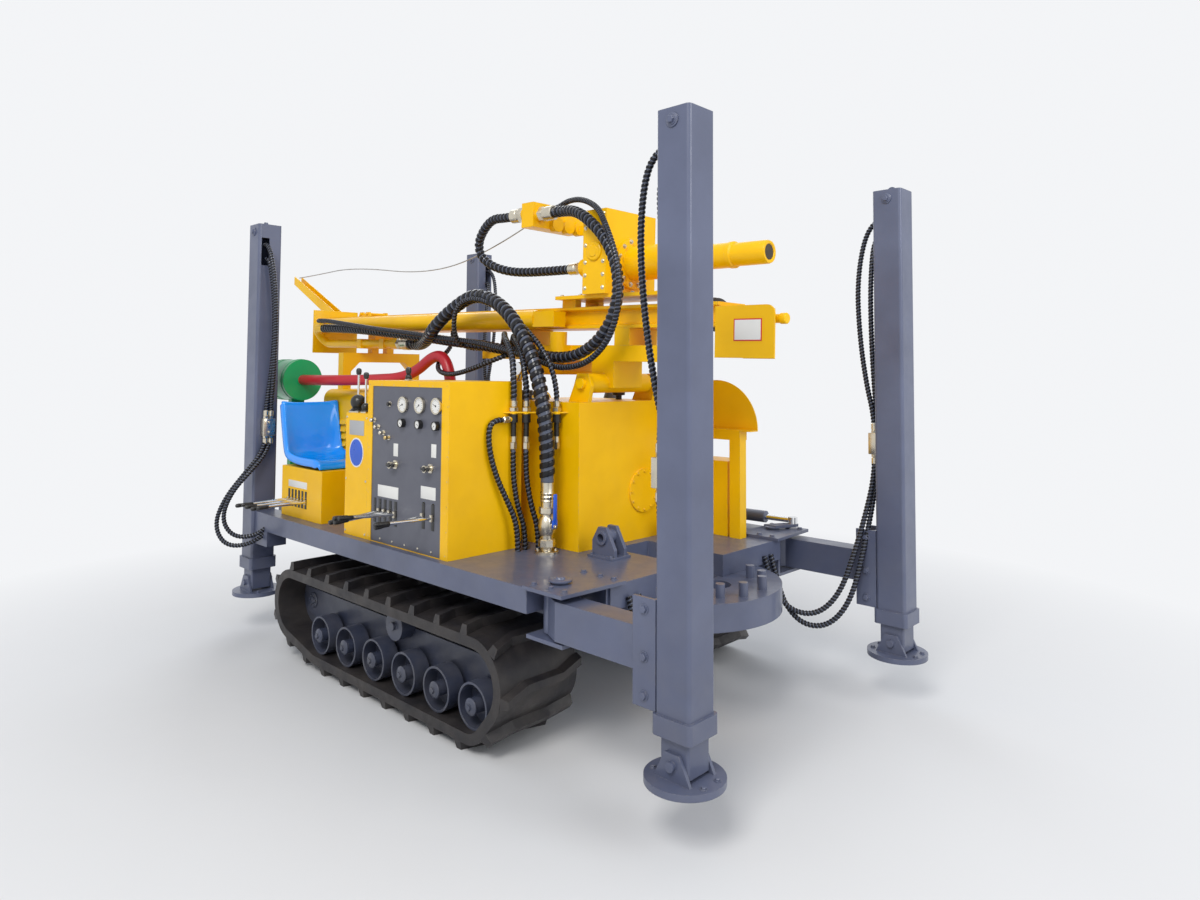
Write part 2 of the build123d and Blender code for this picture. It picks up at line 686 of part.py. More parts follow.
# Tilt frame, with the post beside the feed cylinder
tube_radius = 45
rod_radius = 22
ear_gap = 5
post_u, post_y, post_radius, post_top = -256, -145, 42, 240
frame = block(frame_tail, frame_nose, -mast_half, mast_half, frame_low, frame_high)
frame += bar((0, -ear_in + ear_gap, 0), (0, ear_in - ear_gap, 0), tube_radius)
frame += block(-70, 70, -mast_half, mast_half, -20, frame_low)
frame -= bar((0, -ear_in, 0), (0, ear_in, 0), pin_radius + running_gap)
lift_u, lift_w, lift_y = -300, 60, 345
lift_reach = lift_y - rod_radius - running_gap
frame += bar((lift_u, -lift_reach, lift_w), (lift_u, lift_reach, lift_w), 28)
frame += block(lift_u - 40, lift_u + 40, -mast_half, mast_half, lift_w - 10, frame_low)
frame += bar((post_u, post_y, frame_low), (post_u, post_y, post_top), post_radius)
frame += block(post_u - post_radius, post_u + post_radius, post_y, -mast_half + 5, frame_low, frame_high)
save(on_mast(frame), "tilt_frame")

# Mast beam: I section, with a nose box open below and a tail plate
recess_deep, flange_thick, nose_plate, nose_box, nose_cut = 35, 14, 8, 280, 45
tail_plate, tail_out, tail_low, tail_high = 12, 218, 118, 407
knob_y, knob_w, knob_radius, knob_long = -60, 245, 22, 30
nose_rear = mast_nose - nose_box
web_end = mast_tail + tail_plate
mast = block(mast_tail, nose_rear + nose_plate, -mast_half, mast_half, mast_low, mast_high)
recess = block(web_end, nose_rear, -mast_half - 1, -mast_half + recess_deep,
               mast_low + flange_thick, mast_high - flange_thick)
for side in both(recess):
    mast -= side
nose_outline = [(nose_rear, nose_low), (mast_nose, nose_low), (mast_nose, nose_high - nose_cut),
                (mast_nose - nose_cut, nose_high), (nose_rear, nose_high)]
nose = side_plate(nose_outline, -nose_half, nose_half)
nose_inside = nose_half - nose_plate
nose -= block(nose_rear + nose_plate, mast_nose - nose_plate, -nose_inside, nose_inside,
              nose_low - 1, nose_high - nose_cut)
knob = bar((mast_nose, knob_y, knob_w), (mast_nose + knob_long, knob_y, knob_w), knob_radius)
plate = block(mast_tail, web_end, -tail_out, nose_half, tail_low, tail_high)
save(on_mast(fuse([mast, nose, knob, plate])), "mast_beam")

# Tail jib: channel open upwards
jib_half, jib_wall, jib_deep, jib_root, jib_root_high = 30, 6, 60, 300, 380
jib_foot = jib_tip_high - jib_deep
jib_outline = [(mast_tail, jib_root), (mast_tail, jib_root_high), (jib_tip, jib_tip_high),
               (jib_tip, jib_foot)]
jib_inside = [(mast_tail, jib_root + jib_wall), (mast_tail, jib_root_high + jib_deep),
              (jib_tip, jib_tip_high + jib_deep), (jib_tip, jib_foot + jib_wall)]
jib = side_plate(jib_outline, -jib_half, jib_half)
jib -= side_plate(jib_inside, -jib_half + jib_wall, jib_half - jib_wall)
save(on_mast(jib), "tail_jib")
guides = []
for u in (-600, 115):
    guides.append(block(u - 45, u + 45, -mast_half, mast_half, frame_high, mast_low - running_gap))
save(on_mast(Compound(guides)), "mast_guides")

# Feed cylinder and air pipe along the near side of the mast
feed_y, feed_w, feed_radius, feed_tail, feed_nose = -165, 300, 48, -2540, -376
knuckle = 146
web_y = -mast_half + recess_deep
feed = bar((feed_tail, feed_y, feed_w), (feed_nose, feed_y, feed_w), feed_radius)
feed += bar((web_end, feed_y, feed_w), (feed_tail + 40, feed_y, feed_w), feed_radius + 5)
feed += block(feed_nose - 4, feed_nose + knuckle, feed_y - 40, feed_y + 40, feed_w - 38, feed_w + 38)
feed += block(feed_nose + 16, feed_nose + 76, feed_y, web_y, feed_w - 30, feed_w + 38)
feed_port_u, feed_port_y, feed_port_w = -2440, -222, 327
feed += bar((feed_port_u, feed_port_y, feed_port_w), (feed_port_u, feed_y, feed_port_w), 16)
save(on_mast(feed), "feed_cylinder")
pipe_y, pipe_w, pipe_radius, pipe_nose, pipe_tail = -170, 180, 25, -1650, -2500
union_radius, union_long = 33, 103
elbow_y, elbow_w, elbow_u = -250, 278, -2380
pipe = [(pipe_nose, pipe_y, pipe_w), (pipe_tail, pipe_y, pipe_w), (pipe_tail, elbow_y, elbow_w),
        (elbow_u, elbow_y, elbow_w)]
air_pipe = hose(pipe, pipe_radius)
air_pipe += bar((pipe_nose - 20, pipe_y, pipe_w), (pipe_nose + union_long, pipe_y, pipe_w), union_radius)
clamp_half, strap_half, tab_out = 22, 30, 98
for u in (-2023, -1760):
    air_pipe += block(u - clamp_half, u + clamp_half, pipe_y - strap_half, -strap_half,
                      pipe_w - strap_half, pipe_w + strap_half)
    air_pipe += block(u - clamp_half, u + clamp_half, -tab_out, -strap_half, pipe_w, mast_low)
save(on_mast(air_pipe), "air_pipe")

# Rotary head: carriage on its shoes, gearbox with spindle sleeve, manifold
carriage_rear, carriage_nose, carriage_half, plate_low, plate_high = -280, 415, 150, 395, 412
shoe_long, shoe_in = 90, 60
carriage = block(carriage_rear, carriage_nose, -carriage_half, carriage_half, plate_low, plate_high)
for u in (carriage_rear, carriage_nose - shoe_long):
    shoe = block(u, u + shoe_long, -mast_half, -shoe_in, mast_high + running_gap, plate_low)
    carriage = fuse([carriage] + both(shoe))
save(on_mast(carriage), "head_carriage")
box_rear, box_nose, box_half, box_high = -71, 75, 175, 803
sleeve_nose, sleeve_radius, flange_radius, flange_long = 450, 80, 120, 22
swivel_rear, swivel_radius, stub_radius, stub_long = -235, 45, 27, 83
gearbox = block(box_rear, box_nose, -box_half, box_half, plate_high, box_high)
turned = [
    # u from, u to, radius
    (box_nose, box_nose + flange_long, flange_radius),
    (box_nose, sleeve_nose, sleeve_radius),
    (swivel_rear, box_rear, swivel_radius),
    (swivel_rear - stub_long, swivel_rear, stub_radius),
]
for u0, u1, radius in turned:
    gearbox += bar((u0, 0, spindle_offset), (u1, 0, spindle_offset), radius)
save(on_mast(gearbox), "head_gearbox")
manifold_rear, manifold_nose, manifold_near, manifold_far = -497, -411, -190, 141
manifold_low, manifold_high = 763, 887
port_y, port_w, port_radius, port_long, swivel_port_w = -150, 826, 32, 100, 838
manifold = block(manifold_rear, manifold_nose, manifold_near, manifold_far, manifold_low, manifold_high)
port_row = manifold_low + 27
for y in (-40, 40, 120):
    manifold += bar((manifold_nose - 10, y, port_row), (manifold_nose + 26, y, port_row), 38)
manifold += bar((manifold_nose, port_y, port_w), (manifold_nose + port_long, port_y, port_w), port_radius)
manifold += bar((manifold_rear, port_y, swivel_port_w), (manifold_rear - port_long, port_y, swivel_port_w),
                port_radius)
arm = [(box_rear, box_high), (box_rear, box_high - 110), (manifold_nose - 20, manifold_low),
       (manifold_nose - 20, box_high)]
manifold += side_plate(arm, manifold_far - 30, manifold_far - 14)
save(on_mast(manifold), "head_motor")
spindle_radius, spindle_tip, tip_bore, tip_deep = 49, 826, 34, 70
spindle_root = sleeve_nose + running_gap
spindle = bar((spindle_root, 0, spindle_offset), (spindle_tip, 0, spindle_offset), spindle_radius)
spindle += bar((640, 0, spindle_offset), (700, 0, spindle_offset), 60)
spindle -= bar((spindle_tip - tip_deep, 0, spindle_offset), (spindle_tip + 1, 0, spindle_offset), tip_bore)
save(on_mast(spindle), "spindle")

# Mast lift cylinders
eye_x, eye_z = mast_to_deck(lift_u, 0, lift_w)[::2]
base_x, base_z = -50, 760
length = math.hypot(eye_x - base_x, eye_z - base_z)
dir_x, dir_z = (eye_x - base_x) / length, (eye_z - base_z) / length
barrels, rods, feet = [], [], []
for side in (-1, 1):
    y = side * lift_y

    def along(distance):
        return (base_x + dir_x * distance, y, base_z + dir_z * distance)

    bore = bar(along(60), along(length - 100), rod_radius + running_gap)
    tube = bar(along(45), along(length - 130), 38) - bore
    lug = bar((base_x, y - 17, base_z), (base_x, y + 17, base_z), 30) + bar(along(10), along(50), 17)
    hole = bar((base_x, y - 40, base_z), (base_x, y + 40, base_z), 15 + running_gap)
    barrels.append(tube + lug - hole)
    eye = bar((eye_x, y - rod_radius, eye_z), (eye_x, y + rod_radius, eye_z), 30)
    rods.append(bar(along(80), along(length), rod_radius) + eye)
    foot = bar((base_x, y - 32, base_z), (base_x, y + 32, base_z), 15)
    for dy in (-32, 20):
        foot += block(base_x - 30, base_x + 30, y + dy, y + dy + 12, deck_top, base_z + 25)
    feet.append(foot)
save(Compound(barrels), "lift_barrels")
save(Compound(rods), "lift_rods")
save(Compound(feet), "lift_feet")

# Swing cylinder of the far arm
swing_z = crank_z + 14 + running_gap + 16
swing_base = (520, 800, swing_z)
swing_eye = (crank_x, crank_y, swing_z)
line = Vector(*swing_eye) - Vector(*swing_base)
unit = line.normalized()


def on_swing(distance):
    """A point along the swing cylinder."""
    spot = Vector(*swing_base) + unit * distance
    return (spot.X, spot.Y, spot.Z)


def standing(point, low, high, radius):
    """An upright round bar about a point, between two heights from it."""
    return bar((point[0], point[1], point[2] + low), (point[0], point[1], point[2] + high), radius)


barrel = bar(on_swing(34), on_swing(line.length - 150), 30)
barrel += standing(swing_base, -16, 16, 26) + bar(on_swing(10), on_swing(40), 16)
barrel -= bar(on_swing(50), on_swing(line.length), 14 + running_gap)
barrel -= standing(swing_base, -40, 40, 13 + running_gap)
save(barrel, "swing_barrel")
swing_rod = bar(on_swing(190), on_swing(line.length), 14) + standing(swing_eye, -16, 16, 24)
save(swing_rod, "swing_rod")
foot_x, foot_y = swing_base[:2]
foot = block(foot_x - 30, foot_x + 30, foot_y - 30, foot_y + 30, deck_top, swing_z - 17)
save(foot + standing(swing_base, -17, 24, 13), "swing_foot")

# Far side guard: half-round plate with a flange on a rail and two posts, and the box below it
guard_x, guard_z, guard_radius, guard_plate, guard_y = 735, 1200, 240, 6, 520
flange_y, rail_deep, post_width = 460, 44, 60
disc = bar((guard_x, guard_y, guard_z), (guard_x, guard_y + guard_plate, guard_z), guard_radius)
disc &= block(guard_x - guard_radius, guard_x + guard_radius, guard_y, guard_y + guard_plate,
              guard_z, guard_z + guard_radius)
guard = [disc]
guard.append(block(guard_x - guard_radius, guard_x + guard_radius, flange_y, guard_y + guard_plate,
                   guard_z - guard_plate, guard_z))
guard.append(block(guard_x - guard_radius, guard_x + guard_radius - 60, flange_y, guard_y,
                   guard_z - guard_plate - rail_deep, guard_z - guard_plate))
for x in (guard_x - guard_radius + 20, guard_x + guard_radius - 120):
    guard.append(block(x, x + post_width, guard_y - post_width, guard_y - guard_plate, deck_top,
                       guard_z - guard_plate))
far_box = block(585, 837, guard_y - post_width + 10, guard_y + 110, deck_top, 1044)
save(Compound([fuse(guard + [far_box])]), "guard")

# Hose bulkhead: flat bar from the cabinet to the tank, with the fittings that pass through it
bar_start, bar_end, bar_wide, bar_z, bar_thick = (cab_x1, -480), (485, -tank_half), 40, 1290, 6
across = Vector(bar_end[0] - bar_start[0], bar_end[1] - bar_start[1], 0)
side_step = Vector(-across.Y, across.X, 0).normalized() * (bar_wide / 2)
bar_edge = [
    (cab_x1, bar_start[1] - 26), (bar_end[0] - side_step.X, bar_end[1]),
    (bar_end[0] + side_step.X, bar_end[1]), (cab_x1, bar_start[1] + 26),
]
bulkhead = flat_plate(bar_edge, bar_z, bar_z + bar_thick)
fitting_low, fitting_high = 1130, 1345
fittings = []
for share in (0.10, 0.32, 0.84):
    x, y = bar_start[0] + across.X * share, bar_start[1] + across.Y * share
    fittings.append((x, y))
    bulkhead += bar((x, y, fitting_low), (x, y, fitting_high), 11)
    bulkhead += bar((x, y, bar_z - 40), (x, y, bar_z + 26), 17)
elbow_z = 1262
elbow_end = (fittings[0][0], fittings[0][1] - 62, elbow_z)
bulkhead += bar((fittings[0][0], fittings[0][1], elbow_z), elbow_end, 11)
save(bulkhead, "hose_bulkhead")

# Water valve on its stand pipe
valve_x, valve_y = 475, -392
stand = [
    # bottom, top, radius
    (deck_top, 692, 52), (692, 706, 24), (706, 850, 40), (850, 872, 33), (872, 905, 28), (905, 990, 30),
]
water_valve = fuse([bar((valve_x, valve_y, z0), (valve_x, valve_y, z1), radius) for z0, z1, radius in stand])
water_valve += bar((valve_x, valve_y, 800), (valve_x + 52, valve_y, 800), 12)
water_valve += block(valve_x + 46, valve_x + 58, valve_y - 11, valve_y + 11, 785, 950)
save(water_valve, "water_valve")

# Hoses from the bulkhead down into the deck
x1, y1 = fittings[0]
x2, y2 = fittings[1]
hose_end = deck_top + running_gap
hose_top = fitting_low - running_gap
valve_hoses = [
    [(x1, y1, hose_top), (x1, y1, 1060), (x1 + 3, y1 + 2, 990), (338, -448, 880), (354, -412, 770),
     (354, -412, hose_end)],
    [(x2, y2, hose_top), (x2, y2, 1060), (x2 + 3, y2 + 3, 990), (380, -402, 880), (400, -374, 770),
     (400, -374, hose_end)],
    [(x1, elbow_end[1] - running_gap, elbow_z), (x1, -574, elbow_z), (321, -602, 1225), (323, -598, 1130),
     (328, -560, 1010), (342, -506, 900), (362, -462, 790), (362, -462, hose_end)],
]
save(Compound([hose(points, 10) for points in valve_hoses]), "valve_hoses")

# Hoses between the deck and the mast: the wrapped hose of the valve, and two from the bulkhead
hose_low = fitting_high + running_gap
frame_face = -mast_half - running_gap
wrapped = [
    (valve_x, valve_y, stand[-1][1] + running_gap), (valve_x, valve_y, 1075), (473, -398, 1190),
    (455, -405, 1345), (398, -402, 1510), (290, -388, 1655), (150, -360, 1765), (-10, -330, 1838),
    (-178, -318, 1872), (-335, -330, 1836), (-490, -345, 1748),
]
wrapped += [mast_to_deck(u, y, w) for u, y, w in [
    (-1150, -350, 222), (-1280, -320, 155), (-1370, -240, 158), (-1440, pipe_y, pipe_w),
    (pipe_nose + union_long + running_gap, pipe_y, pipe_w),
]]
mast_hoses = [
    (35, wrapped),
    (12, [(x1, y1, hose_low), (x1, y1, 1400), (317, -460, 1470), (286, -440, 1545), (205, -400, 1605),
          (100, -335, 1646), (0, -250, 1668), (-80, -185, 1645), (-128, -160, 1590),
          (-128, frame_face, 1590)]),
    (12, [(x2, y2, hose_low), (x2, y2, 1400), (352, -422, 1465), (322, -405, 1530), (238, -360, 1592),
          (130, -300, 1636), (42, -225, 1656), (-30, -170, 1640), (-72, -150, 1592),
          (-72, frame_face, 1592)]),
]
save(Compound([hose(points, radius) for radius, points in mast_hoses]), "mast_hoses")

# Hoses of the head: a thick and a thin one in a loop to the mast's tail, one round to the swivel
port_nose = manifold_nose + port_long + running_gap
port_rear = manifold_rear - port_long - running_gap
swivel_end = swivel_rear - stub_long - running_gap
head_hoses = [
    (27, [(port_nose, port_y, port_w), (-235, port_y, port_w), (-110, -192, 806), (10, -227, 750),
          (128, -238, 655), (204, -242, 530), (222, -243, 405), (188, -243, 290), (105, -244, 190),
          (-25, -246, 122), (-170, -248, 113), (-330, -250, 132), (-510, -250, 146), (-720, -250, 172),
          (-980, -250, 190), (-1290, -250, 220), (-1620, -250, 244), (-1980, -250, 268),
          (-2280, elbow_y, elbow_w), (elbow_u + running_gap, elbow_y, elbow_w)]),
    (14, [(manifold_nose + running_gap, -95, 858), (-340, -95, 858), (-230, -125, 880), (-80, -175, 862),
          (60, -215, 800), (170, -280, 700), (240, -288, 570), (268, -288, 430), (255, -288, 290),
          (190, -288, 170), (70, -290, 85), (-80, -292, 66), (-180, -293, 84), (-300, -297, 118),
          (-420, -297, 138), (-700, -296, 186), (-1000, -294, 206), (-1300, -294, 236), (-1650, -294, 262),
          (-2000, -294, 298), (-2290, -292, 327), (feed_port_u, -278, feed_port_w),
          (feed_port_u, feed_port_y - running_gap, feed_port_w)]),
    (25, [(port_rear, port_y, swivel_port_w), (-680, port_y, swivel_port_w), (-780, -143, 846),
          (-872, -128, 808), (-958, -104, 736), (-958, -78, 655), (-868, -48, 598), (-730, -16, 567),
          (-490, 0, spindle_offset), (swivel_end, 0, spindle_offset)]),
]
save(on_mast(Compound([hose(points, radius) for radius, points in head_hoses])), "head_hoses")
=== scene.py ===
import bmesh
import bpy
import json
import math
from mathutils import Matrix, Vector


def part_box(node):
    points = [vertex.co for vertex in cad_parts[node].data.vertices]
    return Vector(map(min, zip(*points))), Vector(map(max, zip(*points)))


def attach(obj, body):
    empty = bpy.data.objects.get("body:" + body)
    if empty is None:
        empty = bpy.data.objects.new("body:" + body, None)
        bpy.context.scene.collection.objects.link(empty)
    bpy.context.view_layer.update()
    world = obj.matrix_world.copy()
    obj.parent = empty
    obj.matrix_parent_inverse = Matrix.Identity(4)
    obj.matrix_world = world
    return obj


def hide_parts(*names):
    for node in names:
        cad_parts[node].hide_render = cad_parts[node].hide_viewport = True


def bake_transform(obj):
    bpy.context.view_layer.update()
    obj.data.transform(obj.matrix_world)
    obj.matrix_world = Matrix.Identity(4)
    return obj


# Crawler-mounted water-well drilling rig. Metres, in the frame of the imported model.
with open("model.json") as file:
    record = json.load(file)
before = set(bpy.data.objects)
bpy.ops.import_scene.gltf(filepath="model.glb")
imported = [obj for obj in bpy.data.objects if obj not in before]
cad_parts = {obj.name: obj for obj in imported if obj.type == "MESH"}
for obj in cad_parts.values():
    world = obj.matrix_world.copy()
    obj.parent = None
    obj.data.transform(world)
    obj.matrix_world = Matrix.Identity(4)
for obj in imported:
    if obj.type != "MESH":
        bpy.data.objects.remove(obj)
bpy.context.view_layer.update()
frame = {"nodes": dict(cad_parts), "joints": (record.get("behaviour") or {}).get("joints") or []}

# Places: the deck is measured from the middle of the four jacks, the mast from its pivot
LEGS = ["leg_tube_front_near", "leg_tube_front_far", "leg_tube_rear_near", "leg_tube_rear_far"]
corners = [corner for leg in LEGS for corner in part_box(leg)]
MIDDLE = sum(corners, Vector()) / len(corners)
JOINTS = {joint["name"]: joint for joint in frame["joints"]}
PIVOT = Vector(JOINTS["mast_tilt"]["pos_m"])
ALONG = Vector(JOINTS["mast_slide"]["axis"])
ACROSS = Vector((0, 1, 0))
SQUARE = ALONG.cross(ACROSS)
UP = Vector((0, 0, 1))
X = Vector((1, 0, 0))


def deck(x, y, z):
    """A point measured from the middle of the jacks, at ground level."""
    return Vector((MIDDLE.x + x, MIDDLE.y + y, z))


def mast(u, y, w):
    """A point measured along the mast, across it and square to it, from its pivot."""
    return PIVOT + ALONG * u + ACROSS * y + SQUARE * w


def new_object(name, data):
    """An object linked into the scene."""
    made = bpy.data.objects.new(name, data)
    bpy.context.collection.objects.link(made)
    return made


# Camera, fitted to the jacks of the photograph
def add_camera():
    """The photograph's viewpoint, with the frame shifted down as there."""
    data = bpy.data.cameras.new("camera")
    data.lens = 24.224
    data.sensor_width = 36
    data.shift_y = -0.0958
    camera = new_object("camera", data)
    heading = Matrix.Rotation(0.7595, 4, "Z")
    rise = Matrix.Rotation(math.pi / 2 + 0.04586, 4, "X")
    roll = Matrix.Rotation(0.0056, 4, "Z")
    camera.matrix_world = Matrix.Translation(deck(3.1168, -2.8412, 1.4764)) @ heading @ rise @ roll
    bpy.context.scene.camera = camera


def add_light(name, place, target, size, watts, colour):
    """A soft square lamp aimed at a point."""
    data = bpy.data.lights.new(name, "AREA")
    data.shape = "SQUARE"
    data.size = size
    data.energy = watts
    data.color = colour
    lamp = new_object(name, data)
    lamp.location = place
    lamp.rotation_euler = (target - place).to_track_quat("-Z", "Y").to_euler()


BACKDROP = (0.90, 0.91, 0.93, 1)


def add_world():
    """A soft sky; the camera and mirrors see the plain backdrop colour instead."""
    world = bpy.data.worlds.new("studio")
    world.use_nodes = True
    tree = world.node_tree
    sky = tree.nodes["Background"]
    sky.inputs["Color"].default_value = (0.86, 0.89, 0.94, 1)
    sky.inputs["Strength"].default_value = 0.62
    seen = tree.nodes.new("ShaderNodeBackground")
    seen.inputs["Color"].default_value = BACKDROP
    path = tree.nodes.new("ShaderNodeLightPath")
    share = path.outputs["Is Camera Ray"]
    for kind in ("Is Glossy Ray", "Is Transmission Ray"):
        either = tree.nodes.new("ShaderNodeMath")
        either.operation = "MAXIMUM"
        tree.links.new(share, either.inputs[0])
        tree.links.new(path.outputs[kind], either.inputs[1])
        share = either.outputs[0]
    mix = tree.nodes.new("ShaderNodeMixShader")
    tree.links.new(share, mix.inputs[0])
    tree.links.new(sky.outputs[0], mix.inputs[1])
    tree.links.new(seen.outputs[0], mix.inputs[2])
    tree.links.new(mix.outputs[0], tree.nodes["World Output"].inputs[0])
    bpy.context.scene.world = world


def add_studio():
    """Pale floor, pale sky and three soft lamps."""
    bpy.context.scene.view_settings.view_transform = "Standard"
    add_world()
    middle = deck(0, 0, 1)
    add_light("key", deck(3.2, -6.0, 6.8), middle, 3.2, 430, (1, 0.97, 0.92))
    add_light("side", deck(7.5, 0.5, 4.6), middle, 4.0, 210, (1, 0.99, 0.97))
    add_light("rear", deck(-6.0, 4.5, 6.0), middle, 5.0, 170, (0.92, 0.96, 1))
    mesh = bpy.data.meshes.new("floor")
    half = 40
    edge = [(-half, -half, 0), (half, -half, 0), (half, half, 0), (-half, half, 0)]
    mesh.from_pydata(edge, [], [(0, 1, 2, 3)])
    mesh.materials.append(plain_floor())
    floor = new_object("floor", mesh)


# Materials
class Nodes:
    """Short words for the nodes of one material."""

    def __init__(self, name):
        self.material = bpy.data.materials.new(name)
        self.material.use_nodes = True
        self.tree = self.material.node_tree
        self.shader = self.tree.nodes["Principled BSDF"]
        self.place = self.add("ShaderNodeTexCoord").outputs["Object"]

    def feed(self, node, inputs):
        """Gives each input of a node its value, or links it to another node's output."""
        for key, value in inputs.items():
            if isinstance(value, bpy.types.NodeSocket):
                self.tree.links.new(value, node.inputs[key])
            else:
                node.inputs[key].default_value = value
        return node

    def add(self, kind, inputs=None, **settings):
        """A node with its settings and inputs."""
        node = self.tree.nodes.new(kind)
        for key, value in settings.items():
            setattr(node, key, value)
        return self.feed(node, inputs or {})

    def gloss(self, **values):
        """Values of the shader's own sockets, their names with _ for a space."""
        self.feed(self.shader, {key.replace("_", " "): value for key, value in values.items()})

    def noise(self, scale, detail=4.0):
        """Noise of so many features a metre."""
        inputs = {"Vector": self.place, "Scale": scale, "Detail": detail, "Roughness": 0.55}
        return self.add("ShaderNodeTexNoise", inputs).outputs["Fac"]

    def ramp(self, value, low, high, from_value=0.0, to_value=1.0):
        """A value stretched between two others, and held there."""
        inputs = {"Value": value, "From Min": low, "From Max": high, "To Min": from_value, "To Max": to_value}
        return self.add("ShaderNodeMapRange", inputs).outputs["Result"]

    def mix(self, share, first, second):
        """Two colours mixed by a share; each is a colour or another output."""
        first, second = [(*colour, 1) if isinstance(colour, tuple) else colour for colour in (first, second)]
        return self.add("ShaderNodeMix", {"Factor": share, 6: first, 7: second}, data_type="RGBA").outputs[2]

    def times(self, first, second):
        """Two outputs multiplied."""
        return self.add("ShaderNodeMath", {0: first, 1: second}, operation="MULTIPLY").outputs[0]

    def rounded(self, radius):
        """The normal of edges rounded to a radius."""
        return self.add("ShaderNodeBevel", {"Radius": radius}, samples=4).outputs["Normal"]

    def edges(self, radius):
        """Near 1 at sharp edges: where the rounded normal leaves the true one."""
        true = self.add("ShaderNodeNewGeometry").outputs["Normal"]
        dot = self.add("ShaderNodeVectorMath", {0: self.rounded(radius), 1: true}, operation="DOT_PRODUCT")
        return self.ramp(dot.outputs["Value"], 0.995, 0.86)

    def low_down(self, low, high):
        """1 near the ground, 0 above: dust that settles low."""
        return self.ramp(self.add("ShaderNodeSeparateXYZ", {0: self.place}).outputs["Z"], high, low)

    def surface(self, colour, roughness, height, depth, round_edges=0.0):
        """Colour, roughness and bump of the shader."""
        bump = self.add("ShaderNodeBump", {"Strength": depth, "Distance": 0.002, "Height": height})
        if round_edges:
            self.feed(bump, {"Normal": self.rounded(round_edges)})
        normal = bump.outputs["Normal"]
        self.feed(self.shader, {"Base Color": colour, "Roughness": roughness, "Normal": normal})
        return self.material


def plain_floor():
    """Pale floor that keeps the shadow near the object and fades into the backdrop."""
    n = Nodes("floor")
    tone = n.mix(n.noise(0.7), (0.66, 0.67, 0.69), (0.69, 0.70, 0.72))
    n.surface(tone, n.ramp(n.noise(6), 0.3, 0.7, 0.65, 0.8), n.noise(60), 0.04)
    middle = n.add("ShaderNodeVectorMath", {0: n.place, 1: deck(0, 0, 0)}, operation="DISTANCE")
    fade = n.ramp(middle.outputs["Value"], 1.6, 4.2)
    glow = n.add("ShaderNodeEmission", {"Color": BACKDROP})
    mix = n.add("ShaderNodeMixShader", {0: fade, 1: n.shader.outputs[0], 2: glow.outputs[0]})
    n.feed(n.tree.nodes["Material Output"], {0: mix.outputs[0]})
    return n.material


def paint(name, colour, shade, wear, rough=(0.26, 0.42), gloss=0.25, dust=0.35, shine=0.5):
    """Machine paint: tone drifts, dust low down, edges worn to metal, fine orange peel."""
    n = Nodes(name)
    tone = n.mix(n.ramp(n.noise(3.0), 0.35, 0.7), colour, shade)
    dusty = n.times(n.low_down(0.05, 1.1), n.ramp(n.noise(9.0, 8.0), 0.38, 0.75, 0.0, dust))
    tone = n.mix(dusty, tone, (0.26, 0.24, 0.21))
    chips = n.times(n.edges(0.004), n.ramp(n.noise(45.0, 6.0), 0.5, 0.62, 0.0, wear))
    tone = n.mix(chips, tone, (0.32, 0.30, 0.28))
    roughness = n.ramp(n.noise(14.0, 5.0), 0.3, 0.7, *rough)
    n.gloss(Specular_IOR_Level=shine, Coat_Weight=gloss, Coat_Roughness=0.12)
    return n.surface(tone, roughness, n.noise(260.0, 2.0), 0.06, round_edges=0.003)


def rubber(name, colour, dust_colour, dust, rough=(0.6, 0.85), grain=120.0, depth=0.25, shine=0.5):
    """Dull rubber with pale dust in its grain."""
    n = Nodes(name)
    n.gloss(Specular_IOR_Level=shine)
    tone = n.mix(n.ramp(n.noise(7.0, 8.0), 0.35, 0.75, 0.0, dust), colour, dust_colour)
    scuffs = n.times(n.edges(0.006), n.ramp(n.noise(30.0, 6.0), 0.4, 0.65, 0.0, 0.5))
    tone = n.mix(scuffs, tone, dust_colour)
    return n.surface(tone, n.ramp(n.noise(20.0), 0.3, 0.7, *rough), n.noise(grain, 6.0), depth)


def metal(name, colour, rough, share=0.3):
    """Plated or bare metal with faint stains and fine scratches."""
    n = Nodes(name)
    tone = n.mix(n.ramp(n.noise(18.0, 6.0), 0.45, 0.8, 0.0, share), colour, (0.2, 0.17, 0.13))
    n.gloss(Metallic=1.0)
    roughness = n.ramp(n.noise(40.0, 4.0), 0.3, 0.7, *rough)
    return n.surface(tone, roughness, n.noise(300.0, 2.0), 0.05)


def plastic(name, colour, shade, rough, coat=0.0):
    """Moulded plastic: even colour, faint grain, scuffs in the gloss."""
    n = Nodes(name)
    tone = n.mix(n.ramp(n.noise(5.0), 0.35, 0.7), colour, shade)
    n.gloss(Coat_Weight=coat)
    return n.surface(tone, n.ramp(n.noise(25.0, 6.0), 0.35, 0.7, *rough), n.noise(220.0, 2.0), 0.05)


